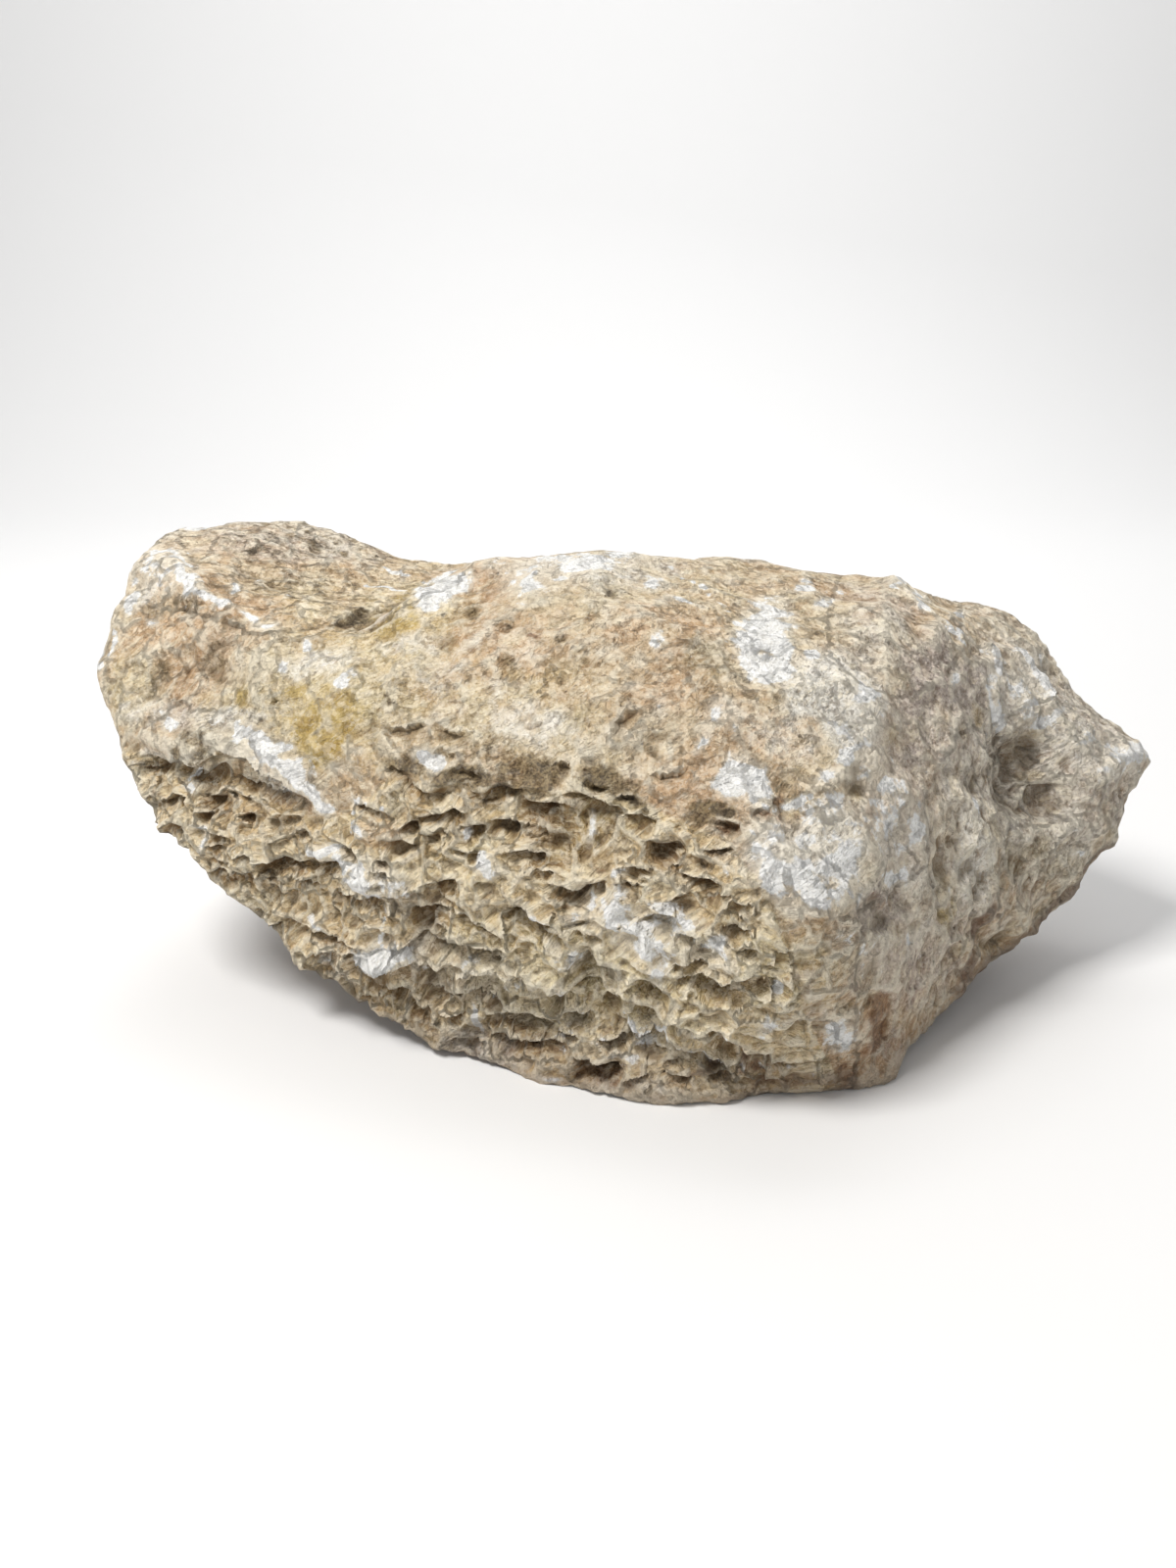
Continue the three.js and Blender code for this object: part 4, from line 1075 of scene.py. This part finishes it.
def relief(points, normals):
    """The rough surface over the smooth one: the moved points and what each one shows."""
    facing = (normals * (EYE - points)).sum(axis=1)
    facing /= np.linalg.norm(EYE - points, axis=1)
    front = smoothstep(facing, 0.0, 0.12)
    x, y = in_view(points)
    bend_size, bend = SMOOTH_BENDS
    across_size, up_size, sharp = BREAKS
    break_x, _, _ = scallops(points, across_size, 31)
    break_y, _, _ = scallops(points, up_size, 81)
    warp_x = (bend * noise(points, bend_size, 31) + sharp * break_x) / VIEW_SCALE
    warp_y = (bend * noise(points, bend_size, 33) + sharp * break_y) / VIEW_SCALE
    jag_x = warp_x + JAGS[1] * noise(points, JAGS[0], 32) / VIEW_SCALE
    jag_y = warp_y + JAGS[1] * noise(points, JAGS[0], 34) / VIEW_SCALE
    honeycomb, behind = honeycomb_share(points, normals)

    jagged = (x + BENT["pockets"] * jag_x, y + BENT["pockets"] * jag_y)
    hand_depth, rim, which = front_pockets(*jagged)
    edge_out, edge_back = ledged(*jagged, noise(points, BROKEN_SIZE, 35))
    worn_size, least, more = POCKET_WORN
    worn = least + more * smoothstep(noise(points, worn_size, 37), -0.45, 0.45)
    worn *= 1 + LOW_DEEPEN * smoothstep(y, *LOW_FROM)
    hand_depth = (POCKET_DEEPEN * worn * hand_depth + LEDGE_DEEPEN * edge_back) * front
    rim *= front
    fill = cell_pockets(points) * honeycomb * (1 - CELL_LESS * front * (1 - behind))
    pocket = np.maximum(hand_depth, fill) * inside_outline(facing, *OUTLINE_POCKETS)
    sunk = pocket - WALL_HEIGHT * honeycomb

    def bent(kind):
        """The places in the view, bent by as much as this kind takes."""
        return x + BENT[kind] * warp_x, y + BENT[kind] * warp_y

    high = (raised(*bent("lines")) + edge_out) * front
    crest = creased(*bent("crests")) * front
    dent = dented(*bent("dents")) * front
    rubble = patches(x + warp_x, y + warp_y, GREY_CRUST_AND_SHADE) * front
    flank = smoothstep(x, *FLANK_FROM) * front

    slabs, _, slab_luck = scallops(points, SLABS[0], 40)
    flakes, clear, flake_luck = scallops(points, FLAKES[0], 50)
    splinters, _, _ = scallops(points, SPLINTERS[0], 60)
    angle, strand = fibre_run(x, y, which, flake_luck, front > 0.5)
    level = points[:, 0] * np.cos(angle) + points[:, 2] * np.sin(angle)
    beside = points[:, 2] * np.cos(angle) - points[:, 0] * np.sin(angle)
    along, through = FIBRE_STRETCH
    fibre = np.stack([beside, level * along, points[:, 1] * through], axis=1)

    rough = SWELL[1] * noise(points, SWELL[0], 1) + LUMP[1] * noise(points, LUMP[0], 2)
    within = honeycomb * inside_outline(facing, *OUTLINE_CHIPS)
    rough += SLABS[1] * slabs + layer_height(FLAKES, within, strand) * flakes
    rough += layer_height(SPLINTERS, within, rubble) * splinters
    rough += layer_height(GRIT, within, rubble) * noise(points, GRIT[0], 62)
    rough += flank * (FLANK_CHIPS[0] * flakes + FLANK_CHIPS[1] * splinters)
    rough += clear * layer_height(STRANDS, honeycomb, strand) * noise(fibre, STRANDS[0], 63)
    rough += clear * layer_height(HAIRS, honeycomb, strand) * noise(fibre, HAIRS[0], 64)
    moved = points + normals * (rough - sunk + high + crest - dent + RIM_LIP * rim)[:, None]
    moved += UPWARD * (POCKET_LIFT * pocket)[:, None]
    moved[:, 2] = np.maximum(moved[:, 2], FLOOR)
    shown = {
        "x": x, "y": y, "warp_x": warp_x, "warp_y": warp_y, "front": front,
        "honeycomb": honeycomb, "pocket": pocket, "rim": rim, "high": high,
        "fibre": fibre, "luck": slab_luck, "strand": strand, "clear": clear,
    }
    return moved, shown


def rough_stone():
    """The finished surface: fine where the camera looks, and coarser behind."""
    points, faces = smooth_stone()
    values = np.concatenate([points, normals_of(points, faces)], axis=1)
    plain, finer = FRONT_EDGE_SHARES
    for _ in range(5):
        normals = values[:, 3:] / np.linalg.norm(values[:, 3:], axis=1)[:, None]
        moved, shown = relief(values[:, :3], normals)
        under = smoothstep(-normals[:, 2], 0.5, 0.8)
        limit = BACK_EDGE + (UNDER_EDGE - BACK_EDGE) * under
        fine = FRONT_EDGE * (plain - finer * shown["honeycomb"])
        limit += (fine - limit) * shown["front"]

        def is_long(edges):
            length = np.linalg.norm(moved[edges[:, 0]] - moved[edges[:, 1]], axis=1)
            return length > limit[edges].mean(axis=1)

        before = len(faces)
        values, faces = split(values, faces, is_long)
        values = eased(values, edges_of(faces)[0], (0.3,))
        if len(faces) < before * 1.02:
            break
    normals = values[:, 3:] / np.linalg.norm(values[:, 3:], axis=1)[:, None]
    moved, shown = relief(values[:, :3], normals)
    return moved, faces, shown


def elsewhere(points, size, salt, low, high):
    """Scattered patches for the sides that the markings don't reach, from 0 to 1."""
    mixed = noise(points, size, salt) + 0.4 * noise(points, size / 3, salt + 1)
    return smoothstep(mixed, low, high)


def markings(moved, faces, shown):
    """What each point of the surface shows, mostly as shares from 0 to 1."""
    front, honeycomb = shown["front"], shown["honeycomb"]
    x = shown["x"] + BENT["marks"] * shown["warp_x"]
    y = shown["y"] + BENT["marks"] * shown["warp_y"]
    normals = normals_of(moved, faces)

    edges, _ = edges_of(faces)
    close = eased(moved, edges, (0.6,) * 4)
    wide = eased(close, edges, (0.8,) * 24)
    # How far each point sits below its surroundings, which the material turns into painted shade
    # in hollows and basins and a painted highlight on edges.
    hollow = ((close - moved) * normals).sum(axis=1) / HOLLOW_DEPTH
    basin = ((wide - moved) * normals).sum(axis=1) / BASIN_DEPTH

    zones = {}
    for name, spots, size, salt, low, high, strength, soft in ZONES:
        others = strength * elsewhere(moved, size, salt, low, high)
        zones[name] = patches(x, y, spots, soft) * front + others * (1 - front)
    white = np.maximum(patches(x, y, WHITE_CRUST, 0.7), strokes(x, y, WHITE_LINES, 0.8))
    white *= front
    white += elsewhere(moved, 26, 81, 0.55, 0.95) * (1 - front)
    # Painted shade: darker along the underside lines, on faces that look down, and near the
    # floor.
    underside_shade = strokes(x, y, UNDERSIDE_LINES, 0.9) * front
    underside_shade = np.maximum(underside_shade, smoothstep(-normals[:, 2], 0.15, 0.8) * (1 - 0.5 * front))
    underside_shade = np.maximum(underside_shade, 0.6 * smoothstep(FLOOR - moved[:, 2], -28, -2))
    return {
        "white": white,
        **zones,
        "strand": np.clip(0.55 + 0.45 * honeycomb + shown["strand"], 0, 1) * shown["clear"],
        "underside_shade": underside_shade,
        "honeycomb": honeycomb,
        "pocket": np.clip(shown["pocket"] / WHOLE_POCKET, 0, 1),
        "rim": np.clip(shown["rim"] + 0.5 * shown["high"] * front, 0, 1),
        "hollow": np.clip(hollow, -1, 1),
        "basin": np.clip(basin, -1, 1),
        "luck": shown["luck"],
    }


def calcite_stone():
    """The stone as one closed piece, with what each point shows kept as attributes."""
    moved, faces, shown = rough_stone()
    shares = markings(moved, faces, shown)
    places = (moved - np.array([*MIDDLE, FLOOR])) * MILLIMETRE
    mesh = bpy.data.meshes.new("calcite_boulder")
    mesh.from_pydata(places.tolist(), [], faces.tolist())
    mesh.shade_smooth()
    mesh.set_sharp_from_angle(angle=CREASE_ANGLE)
    for name, values in shares.items():
        layer = mesh.attributes.new(name, "FLOAT", "POINT")
        layer.data.foreach_set("value", values.astype(np.float32))
    layer = mesh.attributes.new("fibre", "FLOAT_VECTOR", "POINT")
    layer.data.foreach_set("vector", (shown["fibre"] * MILLIMETRE).astype(np.float32).ravel())
    stone = bpy.data.objects.new("calcite_boulder", mesh)
    bpy.context.scene.collection.objects.link(stone)
    return stone


def tone(code):
    """A colour for the shaders from the six hex digits of how it looks."""
    parts = [int(code[place : place + 2], 16) / 255 for place in (0, 2, 4)]
    return (*[part / 12.92 if part <= 0.04045 else ((part + 0.055) / 1.055) ** 2.4
              for part in parts], 1.0)


def fed(tree, node, inputs):
    """Gives a shader node its inputs, which are values or other nodes' outputs."""
    for socket, value in inputs.items():
        if isinstance(value, bpy.types.NodeSocket):
            tree.links.new(value, node.inputs[socket])
        else:
            node.inputs[socket].default_value = value
    return node


def put(tree, kind, inputs=(), **settings):
    """Adds a shader node with its settings and inputs, and gives the node back."""
    node = tree.nodes.new("ShaderNode" + kind)
    for name, value in settings.items():
        setattr(node, name, value)
    return fed(tree, node, dict(inputs))


def sums(tree, operation, first, second=0.0):
    """One step of arithmetic in a shader."""
    return put(tree, "Math", {0: first, 1: second}, operation=operation).outputs[0]


def ramp(tree, value, low, high, start=0.0, end=1.0):
    """A smooth step from start to end as the value goes from low to high."""
    inputs = {"Value": value, "From Min": low, "From Max": high, "To Min": start, "To Max": end}
    return put(tree, "MapRange", inputs, interpolation_type="SMOOTHSTEP").outputs[0]


def blend(tree, share, under, over):
    """One colour laid over another by a share from 0 to 1."""
    return put(tree, "Mix", {0: share, 6: under, 7: over}, data_type="RGBA").outputs[2]


def grain(tree, place, size, detail, seed, roughness):
    """Noise from 0 to 1 with lumps about size apart, in millimetres."""
    inputs = {"Vector": place, "W": seed, "Scale": 1000 / size, "Detail": detail,
              "Roughness": roughness}
    return put(tree, "TexNoise", inputs, noise_dimensions="4D").outputs[0]


def chips(tree, place, size, slope):
    """Flat chips about size apart, each at its own slant: the height, and each one's chance."""
    cells = put(tree, "TexVoronoi", {"Vector": place, "Scale": 1000 / size}).outputs
    away = put(tree, "VectorMath", {0: place, 1: cells["Position"]}, operation="SUBTRACT")
    slant = put(tree, "VectorMath", {0: cells["Color"], 1: (0.5, 0.5, 0.5)}, operation="SUBTRACT")
    rise = put(tree, "VectorMath", {0: away.outputs[0], 1: slant.outputs[0]},
               operation="DOT_PRODUCT").outputs["Value"]
    luck = put(tree, "SeparateColor", {0: cells["Color"]}).outputs[0]
    return sums(tree, "MULTIPLY", rise, slope / BUMP_HEIGHT), luck


def new_group(name, inputs, outputs):
    """An empty shader node group with named inputs and outputs, and its two ends."""
    tree = bpy.data.node_groups.new(name, "ShaderNodeTree")
    for socket_name, kind, value in inputs:
        socket = tree.interface.new_socket(socket_name, in_out="INPUT", socket_type=kind)
        if value is not None:
            socket.default_value = value
    for socket_name, kind in outputs:
        tree.interface.new_socket(socket_name, in_out="OUTPUT", socket_type=kind)
    start, end = tree.nodes.new("NodeGroupInput"), tree.nodes.new("NodeGroupOutput")
    return tree, start.outputs, end.inputs


def ragged_patch_group():
    """Turns a soft share into a patch with a ragged, crumbly edge."""
    tree, given, out = new_group(
        "ragged patch",
        [("Place", "NodeSocketVector", None), ("Share", "NodeSocketFloat", 0.0),
         ("Size", "NodeSocketFloat", 2.5), ("Seed", "NodeSocketFloat", 0.0),
         ("Softness", "NodeSocketFloat", 0.1), ("Crumble", "NodeSocketFloat", 1.5)],
        [("Mask", "NodeSocketFloat")],
    )
    scale = sums(tree, "DIVIDE", 1000.0, given["Size"])
    crumbs = put(tree, "TexNoise", {
        "Vector": given["Place"], "W": given["Seed"], "Scale": scale, "Detail": 4.0,
        "Roughness": 0.62,
    }, noise_dimensions="4D").outputs[0]
    swing = sums(tree, "MULTIPLY", sums(tree, "SUBTRACT", crumbs, 0.5), given["Crumble"])
    shaken = sums(tree, "ADD", given["Share"], swing)
    low = sums(tree, "SUBTRACT", 0.5, given["Softness"])
    high = sums(tree, "ADD", 0.5, given["Softness"])
    tree.links.new(ramp(tree, shaken, low, high), out["Mask"])
    return tree


def stone_grain_group():
    """Fine crystal grain and fibres: light and dark specks, and a height for the bump."""
    tree, given, out = new_group(
        "stone grain",
        [("Place", "NodeSocketVector", None), ("Fibre", "NodeSocketVector", None),
         ("Strand share", "NodeSocketFloat", 1.0)],
        [("Specks", "NodeSocketFloat"), ("Strands", "NodeSocketFloat"),
         ("Creases", "NodeSocketFloat"), ("Chips", "NodeSocketFloat"),
         ("Pits", "NodeSocketFloat"), ("Height", "NodeSocketFloat")],
    )
    def plus(first, second):
        return sums(tree, "ADD", first, second)

    def times(first, second):
        return sums(tree, "MULTIPLY", first, second)

    broad, chip_luck = chips(tree, given["Place"], *CHIPS[0])
    small, small_luck = chips(tree, given["Place"], *CHIPS[1])
    broad = times(broad, ramp(tree, given["Strand share"], 0.4, 1.0, 1.0, 0.5))
    spots = put(tree, "TexVoronoi", {"Vector": given["Place"], "Scale": 1000 / PIT_SIZE}).outputs
    pit_luck = put(tree, "SeparateColor", {0: spots["Color"]}).outputs[1]
    pits = times(ramp(tree, spots["Distance"], 0.06, 0.24, 1.0, 0.0),
                 ramp(tree, pit_luck, 0.72, 0.9))
    coarse = grain(tree, given["Place"], *COARSE_GRAIN)
    fine = grain(tree, given["Place"], *FINE_GRAIN)
    specks = plus(times(coarse, 0.5), times(fine, 0.5))
    swing = sums(tree, "SUBTRACT", grain(tree, given["Fibre"], *STRAND_GRAIN), 0.5)
    strands = plus(times(swing, given["Strand share"]), 0.5)
    creases = sums(tree, "SUBTRACT", grain(tree, given["Place"], *CREASE_GRAIN), 0.5)
    creases = sums(tree, "ABSOLUTE", creases)
    calm = ramp(tree, given["Strand share"], 0.5, 1.0, 0.9, 0.4)
    height = plus(times(specks, calm), times(strands, STRAND_HEIGHT))
    height = plus(height, times(ramp(tree, creases, 0.0, 0.08), CREASE_DEPTH))
    height = sums(tree, "SUBTRACT", plus(plus(height, broad), small), times(pits, PIT_DEPTH))
    results = {
        "Specks": specks, "Strands": strands, "Pits": pits, "Height": height,
        "Creases": ramp(tree, creases, 0.0, 0.035, 1.0, 0.0),
        "Chips": plus(times(small_luck, 0.6), times(chip_luck, 0.4)),
    }
    for name, value in results.items():
        tree.links.new(value, out[name])
    return tree


def calcite_material():
    """Honey and tan calcite with white crust, amber panes, rust and weathered grey, with painted
    shade and painted highlights.
    """
    material = bpy.data.materials.new("honeycomb_calcite")
    material.use_nodes = True
    tree = material.node_tree
    tree.nodes.clear()
    place = put(tree, "TexCoord").outputs["Object"]
    shares = {name: put(tree, "Attribute", attribute_name=name).outputs["Fac"]
              for name in MARK_NAMES}
    fibre = put(tree, "Attribute", attribute_name="fibre").outputs["Vector"]
    grains = put(tree, "Group", node_tree=stone_grain_group())
    fed(tree, grains, {"Place": place, "Fibre": fibre, "Strand share": shares["strand"]})
    specks, strands, creases, flecks, pits, height = grains.outputs
    ragged = ragged_patch_group()

    def patch(name, size, seed, softness, strength, crumble):
        """A mark's share as a patch with a ragged edge."""
        node = put(tree, "Group", node_tree=ragged)
        settings = {"Place": place, "Share": shares[name], "Size": size, "Seed": seed,
                    "Softness": softness, "Crumble": crumble}
        fed(tree, node, settings)
        return sums(tree, "MULTIPLY", node.outputs["Mask"], strength)

    def tinted(colour, value, *tints):
        """A colour with paints over it, each as strongly as its ramp of the value says."""
        for low, high, start, end, paint in tints:
            share = ramp(tree, value, low, high, start, end)
            colour = blend(tree, share, colour, tone(paint))
        return colour

    wide = grain(tree, place, *WIDE_GRAIN)
    mottle = grain(tree, place, *MOTTLE_GRAIN)
    crust = blend(tree, ramp(tree, wide, 0.35, 0.65), tone("dac8a6"), tone("cba984"))
    crust = tinted(crust, mottle, (0.5, 0.66, 0.0, 0.75, "ece0ca"),
                   (0.45, 0.34, 0.0, 0.5, "b8926a"))

    # Pocket colour by depth: pale walls, browner floors and dark brown at the deepest, partly the
    # pockets' own browner tone and partly painted shade.
    wall = blend(tree, ramp(tree, mottle, 0.38, 0.66), tone("e0c596"), tone("f6e6c2"))
    floor = blend(tree, ramp(tree, strands, 0.38, 0.62), tone("8b6f49"), tone("c6a676"))
    deep = blend(tree, ramp(tree, specks, 0.4, 0.6), tone("4a361f"), tone("75592f"))
    pockets_shaded = blend(tree, ramp(tree, shares["pocket"], 0.1, 0.5), wall, floor)
    pockets_shaded = blend(tree, ramp(tree, shares["pocket"], 0.5, 1.05, 0.0, 0.85), pockets_shaded, deep)
    colour = blend(tree, ramp(tree, shares["honeycomb"], 0.25, 0.75), crust, pockets_shaded)
    colour = tinted(colour, shares["luck"], (0.0, 0.45, 0.22, 0.0, "b08f68"),
                    (0.6, 1.0, 0.0, 0.25, "efe5ce"))

    def painted(colour, paints):
        """A colour with a table of gritty paints over it, each in its own ragged patches."""
        for name, size, seed, softness, strength, crumble, dark, light in paints:
            grit = mottle if name == "amber" else specks
            paint = blend(tree, ramp(tree, grit, 0.4, 0.6), tone(dark), tone(light))
            share = patch(name, size, seed, softness, strength, crumble)
            colour = blend(tree, share, colour, paint)
        return colour

    colour = painted(colour, BROAD_PAINTS)
    calm = ramp(tree, shares["honeycomb"], 0.25, 0.75, 1.0, 0.45)
    for low, high, strength, paint in (
        (0.5, 0.61, 0.36, "f6eedd"), (0.475, 0.385, 0.34, "6f5636"),
    ):
        share = sums(tree, "MULTIPLY", ramp(tree, specks, low, high, 0.0, strength), calm)
        colour = blend(tree, share, colour, tone(paint))
    colour = tinted(colour, strands, (0.5, 0.6, 0.0, 0.58, "f6e9cc"),
                    (0.47, 0.37, 0.0, 0.5, "80603a"))
    colour = tinted(colour, flecks, (0.58, 0.78, 0.0, 0.3, "f8ecd4"),
                    (0.38, 0.15, 0.0, 0.22, "8d6840"))
    colour = blend(tree, sums(tree, "MULTIPLY", pits, 0.6), colour, tone("4c3a24"))
    # Painted shade along the fine creases, stronger in the honeycomb.
    share = sums(tree, "MULTIPLY", creases, ramp(tree, shares["honeycomb"], 0.2, 0.8, 0.12, 0.3))
    colour = blend(tree, share, colour, tone("5f4a30"))
    # Painted highlight on the pockets' rims and the raised lines.
    colour = tinted(colour, shares["rim"], (0.2, 1.0, 0.0, 0.22, "f0e8d3"))
    # Painted shade: darker in small hollows and in wide basins.
    colour = tinted(colour, shares["hollow"], (0.3, 1.0, 0.0, 0.35, "6b5536"))
    colour = tinted(colour, shares["basin"], (0.2, 1.0, 0.0, 0.42, "6b5536"))
    # Painted highlight: lighter on edges that stand out.
    colour = tinted(colour, shares["hollow"], (-0.12, -0.8, 0.0, 0.5, "f0e8d4"))
    colour = painted(colour, DARK_PAINTS)
    colour = tinted(colour, shares["white"], (0.05, 0.45, 0.0, 0.5, "f4ecdb"))
    whitened = patch("white", 6.0, 29, 0.12, 0.96, 2.3)
    chalk = blend(tree, ramp(tree, specks, 0.36, 0.56), tone("e4e2db"), tone("fdfdfb"))
    colour = blend(tree, whitened, colour, chalk)
    # Painted shade on the underside and near the floor.
    colour = tinted(colour, shares["underside_shade"], (0.1, 1.0, 0.0, 0.7, "6b5140"))

    gloss = ramp(tree, shares["amber"], 0.2, 0.9, 1.0, 0.62)
    gloss = sums(tree, "MULTIPLY", gloss, ramp(tree, specks, 0.35, 0.6, 0.68, 0.88))
    bump = put(tree, "Bump", {"Strength": 1.0, "Distance": BUMP_HEIGHT, "Height": height})
    shader = put(tree, "BsdfPrincipled", {
        "Base Color": colour, "Roughness": gloss, "Normal": bump.outputs[0],
        "IOR": 1.5, "Specular IOR Level": 0.35,
    })
    output = tree.nodes.new("ShaderNodeOutputMaterial")
    tree.links.new(shader.outputs[0], output.inputs["Surface"])
    return material


def paper_material():
    """The plain pale paper of the floor and backdrop."""
    material = bpy.data.materials.new("pale_paper")
    material.use_nodes = True
    shader = material.node_tree.nodes["Principled BSDF"]
    shader.inputs["Base Color"].default_value = (PAPER_TONE, PAPER_TONE, PAPER_TONE, 1.0)
    shader.inputs["Roughness"].default_value = 0.95
    shader.inputs["Specular IOR Level"].default_value = 0.1
    return material


def paper_sweep():
    """A wide floor that curves up behind the stone into a backdrop."""
    profile = [(PAPER_START, 0.0), (PAPER_BEND - PAPER_CURVE, 0.0)]
    for step in range(1, PAPER_STEPS + 1):
        turn = math.pi / 2 * step / PAPER_STEPS
        profile.append((PAPER_BEND - PAPER_CURVE + PAPER_CURVE * math.sin(turn),
                        PAPER_CURVE - PAPER_CURVE * math.cos(turn)))
    profile.append((PAPER_BEND, PAPER_TOP))
    sheet = bmesh.new()
    rows = [[sheet.verts.new((side, away, up)) for side in (-PAPER_HALF, PAPER_HALF)]
            for away, up in profile]
    for near, far in zip(rows, rows[1:]):
        sheet.faces.new((near[0], near[1], far[1], far[0]))
    mesh = bpy.data.meshes.new("paper_sweep")
    sheet.to_mesh(mesh)
    sheet.free()
    mesh.shade_smooth()
    mesh.materials.append(paper_material())
    paper = bpy.data.objects.new("paper_sweep", mesh)
    bpy.context.scene.collection.objects.link(paper)


def soft_light(name, place, aim, size, power, colour):
    """A square area light that faces a point."""
    light = bpy.data.lights.new(name, "AREA")
    light.size = size
    light.energy = power
    light.color = colour
    lamp = bpy.data.objects.new(name, light)
    lamp.location = place
    lamp.rotation_euler = (Vector(aim) - Vector(place)).to_track_quat("-Z", "Y").to_euler()
    bpy.context.scene.collection.objects.link(lamp)


def studio():
    """The pale world, the soft lights and the camera at the photograph's viewing angle."""
    scene = bpy.context.scene
    world = bpy.data.worlds.new("pale_room")
    world.use_nodes = True
    world.node_tree.nodes["Background"].inputs["Color"].default_value = (1.0, 1.0, 1.0, 1.0)
    world.node_tree.nodes["Background"].inputs["Strength"].default_value = ROOM_LIGHT
    scene.world = world
    for light in LIGHTS:
        soft_light(*light)
    scene.view_settings.view_transform = "Standard"
    lens = bpy.data.cameras.new("viewpoint")
    lens.lens = LENS
    lens.clip_start = 0.01
    viewpoint = bpy.data.objects.new("viewpoint", lens)
    eye = EYE - np.array([*MIDDLE, FLOOR])
    viewpoint.location = Vector(eye * MILLIMETRE)
    viewpoint.rotation_euler = (math.pi / 2 - VIEW_ELEVATION, 0, 0)
    scene.collection.objects.link(viewpoint)
    scene.camera = viewpoint


stone = calcite_stone()
stone.data.materials.append(calcite_material())
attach(stone, "root")
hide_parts("calcite_stone")
paper_sweep()
studio()
